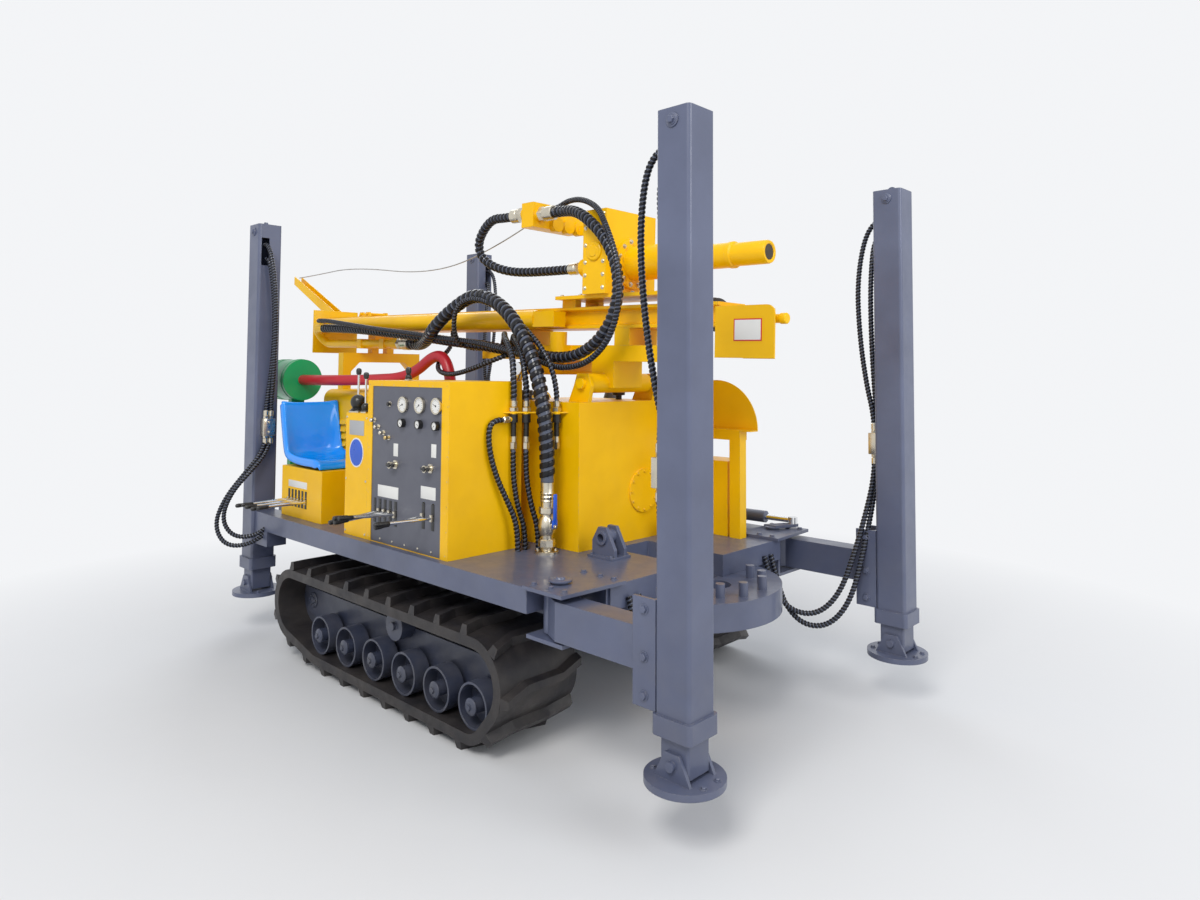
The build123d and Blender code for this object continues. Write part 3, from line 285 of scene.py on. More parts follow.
MATERIALS = {
    "yellow": paint("yellow_enamel", (0.93, 0.535, 0.0), (0.82, 0.45, 0.0), 0.5, (0.3, 0.46), 0.04,
                    dust=0.10, shine=0.28),
    "slate": paint("slate_paint", (0.10, 0.118, 0.195), (0.076, 0.09, 0.152), 0.4, (0.32, 0.46), dust=0.16),
    # darker copy of the slate paint with shade painted in, worn by the running gear
    "shade": paint("slate_painted_shade", (0.045, 0.055, 0.095), (0.030, 0.036, 0.062), 0.35, (0.32, 0.46), dust=0.2),
    "panel": paint("panel_paint", (0.105, 0.110, 0.140), (0.088, 0.093, 0.120), 0.2, (0.4, 0.55), 0.05, 0.0),
    "green": paint("green_paint", (0.0, 0.40, 0.13), (0.0, 0.31, 0.10), 0.3, dust=0.0),
    "iron": paint("dark_iron", (0.030, 0.031, 0.036), (0.022, 0.022, 0.025), 0.4, (0.4, 0.6), 0.1),
    "track": rubber("track_rubber", (0.015, 0.014, 0.017), (0.075, 0.064, 0.056), 0.5, (0.38, 0.62)),
    "hose": rubber("hose_wrap", (0.005, 0.005, 0.008), (0.02, 0.02, 0.024), 0.2, (0.16, 0.28), 300, 0.03,
                   shine=0.32),
    # the bare hose under the wrap, coloured light bluish as a painted sheen in the wrap's gaps
    "sheen_core": rubber("hose_core_painted_sheen", (0.07, 0.085, 0.13), (0.10, 0.11, 0.14), 0.3, (0.2, 0.3), 300, 0.03),
    "red_hose": rubber("red_hose", (0.46, 0.012, 0.025), (0.32, 0.02, 0.025), 0.5, (0.3, 0.45), 500, 0.12),
    "zinc": metal("zinc_plate", (0.66, 0.61, 0.50), (0.22, 0.38)),
    "chrome": metal("hard_chrome", (0.78, 0.79, 0.80), (0.08, 0.18), share=0.1),
    "brass": metal("brass", (0.62, 0.46, 0.20), (0.25, 0.4)),
    "steel": metal("bare_steel", (0.42, 0.41, 0.40), (0.3, 0.5), share=0.5),
    # dark stained steel, its darkness partly the painted shade of a hollow bore
    "bore_shade": metal("bore_painted_shade", (0.10, 0.085, 0.07), (0.5, 0.7), share=0.6),
    "seat": plastic("seat_plastic", (0.0, 0.30, 1.0), (0.0, 0.26, 0.94), (0.12, 0.22), coat=0.5),
    "black": plastic("black_plastic", (0.012, 0.012, 0.013), (0.02, 0.02, 0.02), (0.25, 0.45)),
    "blue": plastic("blue_grip", (0.01, 0.10, 0.62), (0.01, 0.08, 0.50), (0.25, 0.4)),
    "white": plastic("white_plate", (0.76, 0.76, 0.74), (0.70, 0.70, 0.68), (0.3, 0.45), coat=0.2),
    "grey": plastic("grey_plate", (0.40, 0.41, 0.43), (0.35, 0.36, 0.38), (0.3, 0.45)),
    "red": plastic("red_enamel", (0.62, 0.02, 0.02), (0.52, 0.02, 0.02), (0.3, 0.45)),
}

# Which material each CAD node wears, by the start of its name
NODE_MATERIALS = [
    # start of the node's name, material; every other node is yellow
    # track frame, rollers, idler and sprocket wear the slate copy with painted shade
    ("track_frame", "shade"), ("track_", "track"), ("rollers", "shade"), ("idler", "shade"),
    ("sprocket", "shade"), ("leg_", "slate"), ("swing_rod", "chrome"), ("swing_", "slate"),
    ("lift_rods", "chrome"), ("lift_", "slate"), ("control_panel", "panel"), ("air_cleaner", "green"),
    ("deck_frame", "slate"), ("cross_beams", "slate"), ("drill_table", "slate"), ("arm_brackets", "slate"),
    ("rear_leg_mounts", "slate"), ("engine_cover", "yellow"), ("engine", "iron"), ("water_valve", "zinc"),
    ("controls", "black"), ("intake_hose", "red_hose"), ("mast_hoses", "hose"), ("head_hoses", "hose"),
    ("valve_hoses", "hose"),
]


def dress_nodes():
    """Gives every CAD node its material."""
    for name, node in frame["nodes"].items():
        chosen = next((key for start, key in NODE_MATERIALS if name.startswith(start)), "yellow")
        node.data.materials.clear()
        node.data.materials.append(MATERIALS[chosen])
        node.data.set_sharp_from_angle(angle=math.radians(30))


# Building in mesh code
def square_axes(direction):
    """Two directions square to one another and to a third."""
    direction = direction.normalized()
    side = direction.cross(UP if abs(direction.z) < 0.9 else X).normalized()
    return side, direction.cross(side).normalized()


def circle(centre, side, over, radius, count, start=0.0):
    """Points evenly round a centre, in the plane of two directions."""
    turns = [start + 2 * math.pi * i / count for i in range(count)]
    return [centre + side * (radius * math.cos(turn)) + over * (radius * math.sin(turn)) for turn in turns]


class Piece:
    """Collects faces in one mesh, then becomes an object that rides on a body."""

    def __init__(self, name):
        self.name = name
        self.mesh = bmesh.new()
        self.done = self.mesh.faces.layers.int.new("done")
        self.slots = []

    def wear(self, material):
        """Gives the faces made since the last call their material."""
        if material not in self.slots:
            self.slots.append(material)
        for face in self.mesh.faces:
            if not face[self.done]:
                face[self.done] = 1
                face.material_index = self.slots.index(material)
        return self

    def ball(self, centre, radius, sides=20):
        """A ball with small flats at its poles."""
        steps = sides // 2
        turns = [math.pi * i / steps for i in range(1, steps)]
        return self.turned(centre - UP * radius, UP, [
            (radius - radius * math.cos(turn), radius * math.sin(turn)) for turn in turns], sides)

    def block(self, low, high, bevel=0.002):
        """A bevelled box between two corners, along the model's axes."""
        return self.slab((low + high) / 2, [abs(value) for value in high - low], bevel=bevel)

    def skin(self, outlines):
        """Faces from each outline to the next, and one over each end."""
        rings = [[self.mesh.verts.new(point) for point in outline] for outline in outlines]
        for low, high in zip(rings, rings[1:]):
            for i in range(len(low)):
                j = (i + 1) % len(low)
                self.mesh.faces.new((low[i], low[j], high[j], high[i]))
        self.mesh.faces.new(list(reversed(rings[0])))
        self.mesh.faces.new(rings[-1])
        return self

    def turned(self, start, way, rows, sides=24):
        """A turned form from start along a way; each row is a distance along it and a radius."""
        way = way.normalized()
        side, over = square_axes(way)
        return self.skin([circle(start + way * along, side, over, radius, sides) for along, radius in rows])

    def rod(self, start, end, radius, sides=16, chamfer=0.1):
        """A round rod with chamfered ends."""
        length = (end - start).length
        cut = min(radius * chamfer, length / 3)
        rows = [(0, radius - cut), (cut, radius), (length - cut, radius), (length, radius - cut)]
        return self.turned(start, end - start, rows, sides)

    def bolt(self, place, outward, radius, height):
        """A hexagon head on its washer."""
        outward = outward.normalized()
        self.turned(place, outward, [(0, radius * 1.45), (height * 0.18, radius * 1.4)], 20)
        head = [(height * 0.18, radius), (height * 0.85, radius), (height, radius * 0.85)]
        return self.turned(place, outward, head, 6)

    def slab(self, centre, size, axes=(X, ACROSS, UP), bevel=0.002):
        """A bevelled box along three axes."""
        made = bmesh.ops.create_cube(self.mesh, size=1.0)
        for vert in made["verts"]:
            steps = [axis * part * length for axis, part, length in zip(axes, vert.co.copy(), size)]
            vert.co = centre + sum(steps, Vector())
        if bevel:
            edges = {edge for vert in made["verts"] for edge in vert.link_edges}
            bmesh.ops.bevel(self.mesh, geom=list(edges), offset=bevel, segments=2, profile=0.5,
                            affect="EDGES", clamp_overlap=True)
        return self

    def plate(self, outline, through):
        """A plate: an outline carried through by a vector."""
        return self.skin([outline, [point + through for point in outline]])

    def tube(self, line, radius, sides=14):
        """A round tube along a line of points."""
        return self.skin([circle(*row, radius, sides) for row in carried_axes(line)])

    def finish(self, material, body, replaces=(), blend=None, smooth=35):
        """Makes the object, gives the rest of its faces a material and lets it ride on its body; given a
        blend, it only bakes the object's place instead.
        """
        self.wear(material)
        self.mesh.faces.layers.int.remove(self.done)
        bmesh.ops.recalc_face_normals(self.mesh, faces=self.mesh.faces)
        data = bpy.data.meshes.new(self.name)
        self.mesh.to_mesh(data)
        self.mesh.free()
        data.shade_smooth()
        data.set_sharp_from_angle(angle=math.radians(smooth))
        for slot in self.slots:
            data.materials.append(MATERIALS[slot])
        piece = new_object(self.name, data)
        if blend:
            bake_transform(piece)
        else:
            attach(piece, body)
        if replaces:
            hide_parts(*replaces)
        return piece


def smooth_line(points, per_run=12):
    """The smooth line of a hose: points read from a spline with the route as its control points."""
    data = bpy.data.curves.new("route", "CURVE")
    data.dimensions = "3D"
    data.resolution_u = per_run
    spline = data.splines.new("NURBS")
    spline.points.add(len(points) - 1)
    for point, place in zip(spline.points, points):
        point.co = (*place, 1)
    spline.order_u = 3
    spline.use_endpoint_u = True
    carrier = bpy.data.objects.new("route", data)
    mesh = bpy.data.meshes.new_from_object(carrier)
    line = [vert.co.copy() for vert in mesh.vertices]
    bpy.data.objects.remove(carrier)
    bpy.data.curves.remove(data)
    bpy.data.meshes.remove(mesh)
    return line


def carried_axes(line):
    """Each point of a line with two axes square to it that don't twist."""
    ways = [(b - a).normalized() for a, b in zip(line, line[1:])]
    ways = [ways[0]] + [(a + b).normalized() for a, b in zip(ways, ways[1:])] + [ways[-1]]
    side = square_axes(ways[0])[0]
    rows = []
    for centre, way in zip(line, ways):
        side = (side - way * side.dot(way)).normalized()
        rows.append((centre, side, way.cross(side)))
    return rows


class Line:
    """The smooth line of a route, asked for a place at a distance along it."""

    def __init__(self, route):
        points = smooth_line(route)
        self.rows = carried_axes(points)
        self.marks = [0.0]
        for a, b in zip(points, points[1:]):
            self.marks.append(self.marks[-1] + (b - a).length)
        self.length = self.marks[-1]

    def at(self, distance):
        """Centre and two square axes at a distance."""
        distance = min(max(distance, 0.0), self.length)
        low, high = 0, len(self.marks) - 1
        while high - low > 1:
            middle = (low + high) // 2
            if self.marks[middle] <= distance:
                low = middle
            else:
                high = middle
        share = (distance - self.marks[low]) / max(self.marks[high] - self.marks[low], 1e-9)
        (c0, s0, o0), (c1, s1, o1) = self.rows[low], self.rows[high]
        return c0.lerp(c1, share), s0.lerp(s1, share).normalized(), o0.lerp(o1, share).normalized()


def wrapped_hose(name, line, radius, body, start=0.0, end=None, pitch=None, sides=16, **rest):
    """A hose in a spiral plastic wrap, between two distances of its line."""
    end = line.length if end is None else end
    pitch = pitch or radius * 1.15
    bare = radius * 0.82
    edge = radius * 0.96
    band = [(0.0, bare), (0.05, edge), (0.16, radius), (0.5, radius), (0.61, edge), (0.66, bare)]
    piece = Piece(name)
    piece.tube([line.at(start + (end - start) * i / 60)[0] for i in range(61)], bare, sides)
    # the bare hose wears the light bluish painted sheen
    piece.wear("sheen_core")
    steps = int((end - start) / pitch * sides)
    strip = []
    for step in range(steps + 1):
        turn = 2 * math.pi * step / sides
        row = []
        for share, reach in band:
            centre, side, over = line.at(start + pitch * (step / sides + share))
            outward = side * math.cos(turn) + over * math.sin(turn)
            row.append(piece.mesh.verts.new(centre + outward * reach))
        strip.append(row)
    for before, after in zip(strip, strip[1:]):
        for a, b, c, d in zip(before, before[1:], after[1:], after):
            piece.mesh.faces.new((a, b, c, d))
    return piece.finish("hose", body, smooth=50, **rest)


# Hoses: their routes in millimetres, as in the source of the solids
WRAPPED_DECK = [
    (475, -392, 990.3), (475, -392, 1075), (473, -398, 1190), (455, -405, 1345),
    (398, -402, 1510), (290, -388, 1655), (150, -360, 1765), (-10, -330, 1838),
    (-178, -318, 1866), (-335, -328, 1800), (-480, -335, 1712),
]
WRAPPED_MAST = [
    (-1130, -290, 212), (-1270, -225, 184), (-1390, -178, 176), (-1470, -170, 180),
    (-1546.7, -170, 180),
]
OVER_HOSE = [
    (456, -320, 1345), (456, -321, 1410), (410, -336, 1550), (260, -348, 1690),
    (90, -354, 1785), (-100, -362, 1850), (-245, -366, 1815), (-290, -352, 1710),
    (-312, -310, 1632), (-310, -240, 1600), (-300, -170, 1597), (-300, -100.3, 1597),
]
SAG_FRAME = [
    (50, -100.3, 1580), (50, -170, 1578), (20, -270, 1555), (-100, -335, 1500),
    (-298, -345, 1455), (-500, -300, 1475), (-620, -200, 1545),
]
SAG_MAST = [(-1200, -100, 150), (-1200, -80, 200), (-1200, -80, 255.7)]
BULKHEAD_HOSES = [
    [(323, -461, 1345.3), (323, -461, 1400), (317, -460, 1470), (286, -440, 1545),
     (205, -400, 1605), (100, -335, 1646), (0, -250, 1668), (-80, -185, 1645),
     (-128, -160, 1590), (-128, -100.3, 1590)],
    [(362.6, -419.2, 1345.3), (362.6, -419.2, 1400), (352, -422, 1465), (322, -405, 1530),
     (238, -360, 1592), (130, -300, 1636), (42, -225, 1656), (-30, -170, 1640),
     (-72, -150, 1592), (-72, -100.3, 1592)],
]
VALVE_HOSES = [
    [(323, -461, 1129.7), (323, -461, 1060), (326, -459, 990), (338, -448, 880),
     (354, -412, 770), (354, -412, 680.3)],
    [(362.6, -419.2, 1129.7), (362.6, -419.2, 1060), (365.6, -416.2, 990), (380, -402, 880),
     (400, -374, 770), (400, -374, 680.3)],
    [(323, -523.3, 1262), (323, -574, 1262), (321, -602, 1225), (323, -598, 1130),
     (328, -560, 1010), (342, -506, 900), (362, -462, 790), (362, -462, 680.3)],
]
HEAD_THICK = [
    (-310.7, -150, 826), (-235, -150, 826), (-110, -192, 806), (10, -227, 750),
    (128, -238, 655), (204, -242, 530), (222, -243, 405), (188, -243, 290),
    (105, -244, 190), (-25, -246, 122), (-170, -248, 113), (-330, -250, 132),
    (-510, -250, 146), (-720, -250, 172), (-980, -250, 190), (-1290, -250, 220),
    (-1620, -250, 244), (-1980, -250, 268), (-2280, -250, 278), (-2379.7, -250, 278),
]
HEAD_THIN = [
    (-410.7, -95, 858), (-340, -95, 858), (-230, -125, 880), (-80, -175, 862),
    (60, -215, 800), (170, -280, 700), (240, -288, 570), (268, -288, 430),
    (255, -288, 290), (190, -288, 170), (70, -290, 85), (-80, -292, 66),
    (-180, -293, 84), (-300, -297, 118), (-420, -297, 138), (-700, -296, 186),
    (-1000, -294, 206), (-1300, -294, 236), (-1650, -294, 262), (-2000, -294, 298),
    (-2290, -292, 327), (-2440, -278, 327), (-2440, -222.3, 327),
]
HEAD_SWIVEL = [
    (-597.3, -150, 838), (-680, -150, 838), (-780, -143, 846), (-872, -128, 808),
    (-958, -104, 736), (-958, -78, 655), (-868, -48, 598), (-730, -16, 567),
    (-490, 0, 562), (-318.3, 0, 562),
]
INTAKE = [
    (-1491.7, -560, 1420), (-1240, -560, 1420), (-990, -420, 1424), (-790, -275, 1440),
    (-540, -260, 1590), (-430, -260, 1480), (-430, -260, 1365.3),
]


UNION_RINGS = [
    # height, rows of a distance and a radius, sides
    (1.317, [(0, 0.0140), (0.004, 0.0165), (0.026, 0.0165), (0.029, 0.0140)], 24),
    (1.297, [(0, 0.0180), (0.002, 0.0210), (0.017, 0.0210), (0.019, 0.0180)], 6),
    (1.128, [(0, 0.0120), (0.003, 0.0155), (0.030, 0.0155), (0.033, 0.0120)], 6),
    (1.160, [(0, 0.0145), (0.026, 0.0145)], 24),
]


def add_unions():
    """Plated unions on the bulkhead's fittings and on the air pipe."""
    piece = Piece("bulkhead_unions")
    for x, y in ((0.323, -0.461), (0.3626, -0.4192), (0.456, -0.320)):
        foot = deck(x, y, 0)
        for z, rows, sides in UNION_RINGS:
            piece.turned(foot + UP * z, UP, rows, sides)
        piece.wear("zinc")
        piece.turned(foot + UP * 1.186, UP, [(0, 0.0125), (0.060, 0.0125), (0.062, 0.0195), (0.098, 0.0195),
                                             (0.101, 0.0160)]).wear("black")
    elbow = deck(0.323, -0.486, 1.262)
    piece.turned(elbow, -ACROSS, [(0, 0.0120), (0.002, 0.0155), (0.034, 0.0155), (0.037, 0.0120)], 6)
    piece.finish("zinc", "chassis", smooth=30)
    union = Piece("air_pipe_union")
    start = mast(-1.600, -0.170, 0.180)
    union.turned(start, ALONG, [(0, 0.0345), (0.003, 0.0385), (0.030, 0.0385), (0.033, 0.0350)], 6)
    sleeve = [(0.033, 0.0345), (0.050, 0.0345), (0.052, 0.0375), (0.104, 0.0375), (0.108, 0.0340)]
    union.turned(start, ALONG, sleeve, 28)
    union.finish("zinc", "mast", smooth=30)


def deck_points(route):
    """A route on the deck, from millimetres."""
    return [deck(x / 1000, y / 1000, z / 1000) for x, y, z in route]


def mast_points(route):
    """A route along the mast, from millimetres."""
    return [mast(u / 1000, y / 1000, w / 1000) for u, y, w in route]


def crossing_hose(name, line, radius, bodies, low, high, **rest):
    """A wrapped hose meant to cross from one body to the next between two distances of its line; finish only
    bakes its place, so it rides on no body.
    """
    wrapped_hose(name, line, radius, None, blend=(*bodies, line.at(low)[0], line.at(high)[0]), **rest)


def add_hoses():
    """Every hose that the solids have, in its wrap, and the smooth intake hose."""
    onto_frame, onto_mast = ("chassis", "tilt_frame"), ("tilt_frame", "mast")
    thin = {"sides": 12, "pitch": 0.018}
    line = Line(deck_points(WRAPPED_DECK) + mast_points(WRAPPED_MAST))
    half = line.length * 0.52
    crossing_hose("hose_valve_to_frame", line, 0.035, onto_frame, 0.25, half * 0.9, end=half, sides=20,
                  replaces=["mast_hoses"])
    crossing_hose("hose_frame_to_mast", line, 0.035, onto_mast, half * 1.05, line.length - 0.15, start=half,
                  sides=20)
    for i, route in enumerate(BULKHEAD_HOSES):
        line = Line(deck_points(route))
        crossing_hose(f"hose_bulkhead_{i}", line, 0.015, onto_frame, 0.1, line.length - 0.15, sides=12,
                      pitch=0.020)
    line = Line(deck_points(OVER_HOSE))
    crossing_hose("hose_bulkhead_over", line, 0.013, onto_frame, 0.1, line.length - 0.15, **thin)
    line = Line(deck_points(SAG_FRAME) + mast_points(SAG_MAST))
    crossing_hose("hose_frame_sag", line, 0.013, onto_mast, 0.1, line.length - 0.1, **thin)
    for i, route in enumerate(VALVE_HOSES):
        wrapped_hose(f"hose_deck_{i}", Line(deck_points(route)), 0.013, "chassis", replaces=["valve_hoses"],
                     **thin)
    for name, route, radius in (("thick", HEAD_THICK, 0.027), ("thin", HEAD_THIN, 0.014)):
        line = Line(mast_points(route))
        crossing_hose(f"hose_head_{name}", line, radius, ("mast", "head"), line.length - 0.3,
                      line.length * 0.45, replaces=["head_hoses"])
    wrapped_hose("hose_head_swivel", Line(mast_points(HEAD_SWIVEL)), 0.025, "head")
    line = Line(deck_points(INTAKE))
    piece = Piece("hose_intake")
    piece.tube([line.at(line.length * i / 120)[0] for i in range(121)], 0.030, 24)
    piece.finish("red_hose", "chassis", ["intake_hose"])


# Jack hoses: out of the window, into the valve block, and on to the deck
JACK_X, JACK_Y, JACK_HALF = 1.540, 0.785, 0.0675
JACKS = [
    # name, x, y, body of the tube, body of the foot
    ("front_near", JACK_X, -JACK_Y, "arm_near", "jack_front_near"),
    ("front_far", JACK_X, JACK_Y, "arm_far", "jack_front_far"),
    ("rear_near", -JACK_X, -JACK_Y, "chassis", "jack_rear_near"),
    ("rear_far", -JACK_X, JACK_Y, "chassis", "jack_rear_far"),
]
UPPER_LOOPS = [
    # outwards from the jack's face, sideways from the valve, height
    [(-0.012, 0.030, 2.200), (0.025, 0.030, 2.205), (0.085, 0.026, 2.120), (0.115, 0.012, 1.900),
     (0.098, 0.002, 1.640), (0.062, -0.008, 1.420), (0.030, -0.013, 1.300), (0.024, -0.014, 1.228)],
    [(-0.012, 0.018, 2.120), (0.016, 0.016, 2.118), (0.034, 0.006, 2.050), (0.036, -0.016, 1.860),
     (0.030, -0.022, 1.620), (0.026, -0.006, 1.420), (0.025, 0.010, 1.300), (0.024, 0.014, 1.228)],
]
LOWER_FRONT = [
    [(1.448, 0.771, 1.078), (1.446, 0.768, 1.000), (1.428, 0.735, 0.860), (1.392, 0.680, 0.660),
     (1.350, 0.620, 0.480), (1.280, 0.560, 0.385), (1.190, 0.515, 0.375), (1.120, 0.480, 0.430),
     (1.080, 0.455, 0.540), (1.056, 0.450, 0.625)],
    [(1.448, 0.799, 1.078), (1.446, 0.796, 1.000), (1.440, 0.760, 0.860), (1.420, 0.706, 0.660),
     (1.392, 0.640, 0.450), (1.320, 0.580, 0.335), (1.220, 0.535, 0.320), (1.135, 0.510, 0.390),
     (1.090, 0.500, 0.520), (1.056, 0.505, 0.625)],
]
LOWER_REAR = [
    [(-1.448, 0.771, 1.078), (-1.446, 0.790, 1.010), (-1.425, 0.880, 0.920), (-1.455, 0.980, 0.800),
     (-1.480, 1.020, 0.660), (-1.440, 0.975, 0.560), (-1.380, 0.880, 0.555), (-1.345, 0.800, 0.620),
     (-1.318, 0.760, 0.640)],
    [(-1.448, 0.799, 1.078), (-1.446, 0.816, 1.010), (-1.470, 0.900, 0.900), (-1.520, 0.990, 0.760),
     (-1.535, 1.035, 0.620), (-1.480, 1.000, 0.510), (-1.410, 0.900, 0.505), (-1.350, 0.800, 0.585),
     (-1.318, 0.700, 0.620)],
]


def add_jack_hoses():
    """Two hoses above and two below each jack's valve block, with their fittings."""
    wrap = {"sides": 12, "pitch": 0.0155}
    for name, x, y, tube_body, foot_body in JACKS:
        inward = -math.copysign(1, x)
        face = x + inward * JACK_HALF
        side = math.copysign(1, y)
        valve = Piece(f"valve_fittings_{name}")
        for i, loop in enumerate(UPPER_LOOPS):
            line = Line([deck(face + inward * out, y + side * across, z) for out, across, z in loop])
            wrapped_hose(f"hose_jack_{name}_{i}", line, 0.0125, tube_body, **wrap)
        spread = 0.4 if name == "rear_far" else 1.0
        for i, loop in enumerate(LOWER_FRONT if x > 0 else LOWER_REAR):
            line = Line([deck(px, side * (JACK_Y + spread * (py - JACK_Y)), pz) for px, py, pz in loop])
            if x > 0:
                crossing_hose(f"hose_feed_{name}_{i}", line, 0.0125, ("chassis", tube_body),
                              line.length * 0.95, line.length * 0.3, **wrap)
            else:
                wrapped_hose(f"hose_feed_{name}_{i}", line, 0.0125, tube_body, **wrap)
            for z, way in ((1.105, -1), (1.200, 1)):
                port = deck(face + inward * 0.024, y + side * (loop[0][1] - JACK_Y), z)
                valve.turned(port, UP * way, [(0, 0.014), (0.014, 0.014), (0.016, 0.011)], 6)
                rows = [(0.014, 0.011), (0.018, 0.015), (0.044, 0.015), (0.048, 0.012)]
                valve.turned(port, UP * way, rows)
        valve.block(deck(face, y - 0.034, 1.103), deck(face + inward * 0.046, y + 0.034, 1.202), 0.003)
        for z in (1.125, 1.180):
            valve.bolt(deck(face + inward * 0.046, y, z), X * inward, 0.007, 0.009)
        valve.finish("zinc", tube_body, smooth=30)


# Operator's place
SEAT_MIDDLE = -0.605
SEAT_HALF = 0.162
SEAT_LINE = [
    # x, z, from the top of the back down to the front lip
    (-1.317, 1.268), (-1.313, 1.290), (-1.304, 1.294), (-1.300, 1.230), (-1.290, 1.150), (-1.278, 1.060),
    (-1.262, 1.004), (-1.215, 0.984), (-1.130, 0.982), (-1.040, 0.986), (-0.960, 0.992), (-0.905, 0.992),
    (-0.876, 0.976), (-0.871, 0.954),
]


def add_seat():
    """Moulded bucket seat: a shell whose sides rise round the bend of the back."""
    line = smooth_line([Vector((x, 0, z)) for x, z in SEAT_LINE], per_run=4)
    rows, columns = len(line), 18
    flat = [(2 * j / columns - 1, 0.0) for j in range(columns + 1)]
    skirt = [(1.02, 0.006), (1.028, 0.020), (1.030, 0.042)]
    section = [(-across, drop) for across, drop in reversed(skirt)] + flat + skirt
    mesh = bmesh.new()
    grid = []
    for i, point in enumerate(line):
        share = i / (rows - 1)
        way = (line[min(i + 1, rows - 1)] - line[max(i - 1, 0)]).normalized()
        inside = Vector((-way.z, 0, way.x))
        rise = (0.012 + 0.030 * math.exp(-((share - 0.45) / 0.22) ** 2)) * min(1.0, (1.0 - share) * 6)
        top_corner = math.sqrt(1 - 0.30 * max(0.0, 1 - share / 0.10) ** 2)
        half = SEAT_HALF * top_corner - 0.008 * max(0.0, share - 0.85) / 0.15
        hang = min(1.0, 8 * share, 8 * (1.0 - share))
        row = []
        for across, drop in section:
            lift = inside * (rise * min(1.0, abs(across)) ** 3.4 - drop * hang)
            row.append(mesh.verts.new(deck(point.x, SEAT_MIDDLE + half * across, point.z) + lift))
        grid.append(row)
    for before, after in zip(grid, grid[1:]):
        for a, b, c, d in zip(before, before[1:], after[1:], after):
            mesh.faces.new((a, b, c, d))
    data = bpy.data.meshes.new("seat_shell")
    mesh.to_mesh(data)
    mesh.free()
    data.shade_smooth()
    data.materials.append(MATERIALS["seat"])
    shell = new_object("seat_shell", data)
    wall = shell.modifiers.new("wall", "SOLIDIFY")
    wall.thickness = 0.007
    wall.offset = 0
    rim = shell.modifiers.new("rim", "SUBSURF")
    rim.levels = rim.render_levels = 1
    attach(shell, "chassis")
    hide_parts("seat")
    base = Piece("seat_slides")
    for y in (-0.70, -0.51):
        base.block(deck(-1.24, y - 0.018, 0.951), deck(-0.93, y + 0.018, 0.968))
        base.block(deck(-1.22, y - 0.012, 0.966), deck(-0.95, y + 0.012, 0.984))
    base.finish("black", "chassis")


PANEL_FACE, BOX_FACE, COLUMN_FACE = -0.797, -0.770, -0.800
BOX_LEVERS = [-1.196 + 0.038 * i for i in range(6)]
GAUGES = [
    # x, z, radius, how far it stands out, needle's turn
    (-0.040, 1.325, 0.036, 0.014, -1.9), (0.091, 1.326, 0.036, 0.014, -2.2),
    (0.217, 1.326, 0.036, 0.014, -1.2),
    (-0.043, 1.242, 0.020, 0.022, 2.4), (0.091, 1.242, 0.020, 0.022, 2.1),
    (0.218, 1.241, 0.020, 0.022, -2.3),
]
KNOBS = [
    # x, z, radius, how far it stands out, material
    (-0.157, 1.324, 0.009, 0.016, "black"), (-0.285, 1.245, 0.009, 0.026, "zinc"),
    (-0.250, 1.215, 0.009, 0.026, "zinc"), (-0.205, 1.190, 0.009, 0.026, "zinc"),
    (-0.160, 1.170, 0.009, 0.026, "brass"),
]
VALVES = [(-0.102, 1.051), (0.172, 1.056)]
LEVERS = [
    # x, height, reach, rise
    (-0.228, 0.838, 0.255, -0.022), (-0.184, 0.838, 0.255, -0.016), (-0.140, 0.838, 0.283, 0.012),
    (-0.096, 0.838, 0.283, 0.018), (0.123, 0.858, 0.240, -0.018), (0.193, 0.858, 0.283, 0.008),
]
STICKS = [
    # x, y, foot, ball height, ball radius, top
    (-0.512, -0.755, 1.272, 1.322, 0.041, 1.490), (-0.425, -0.765, 1.272, 1.300, 0.022, 1.470),
    (-0.112, -0.730, 1.432, 1.449, 0.016, 1.495),
]


def gauge(piece, place, radius, depth, turn):
    """A pressure gauge facing the driver: bezel, white dial, ticks and needle."""
    out = -ACROSS
    dial = depth - 0.003
    case = [(0, radius * 0.9), (0.002, radius), (depth - 0.001, radius), (depth, radius * 0.95),
            (depth, radius * 0.87), (dial, radius * 0.84)]
    piece.turned(place, out, case, 32).wear("black" if radius < 0.03 else "zinc")
    face = [(0, radius * 0.83), (0.0004, radius * 0.82)]
    piece.turned(place + out * dial, out, face, 32).wear("white")
    centre = place + out * (dial + 0.0006)
    for i in range(13):
        angle = math.radians(-135 + 22.5 * i)
        way = X * math.sin(angle) + UP * math.cos(angle)
        size = (radius * 0.04, 0.0004, radius * (0.2 if i % 3 == 0 else 0.12))
        piece.slab(centre + way * radius * 0.68, size, (way.cross(out), out, way), bevel=0)
    way = X * math.sin(turn) + UP * math.cos(turn)
    size = (radius * 0.06, 0.0006, radius * 0.72)
    piece.slab(centre + way * radius * 0.22, size, (way.cross(out), out, way), bevel=0)
    piece.turned(centre, out, [(0, radius * 0.12), (0.0012, radius * 0.1)], 12).wear("black")


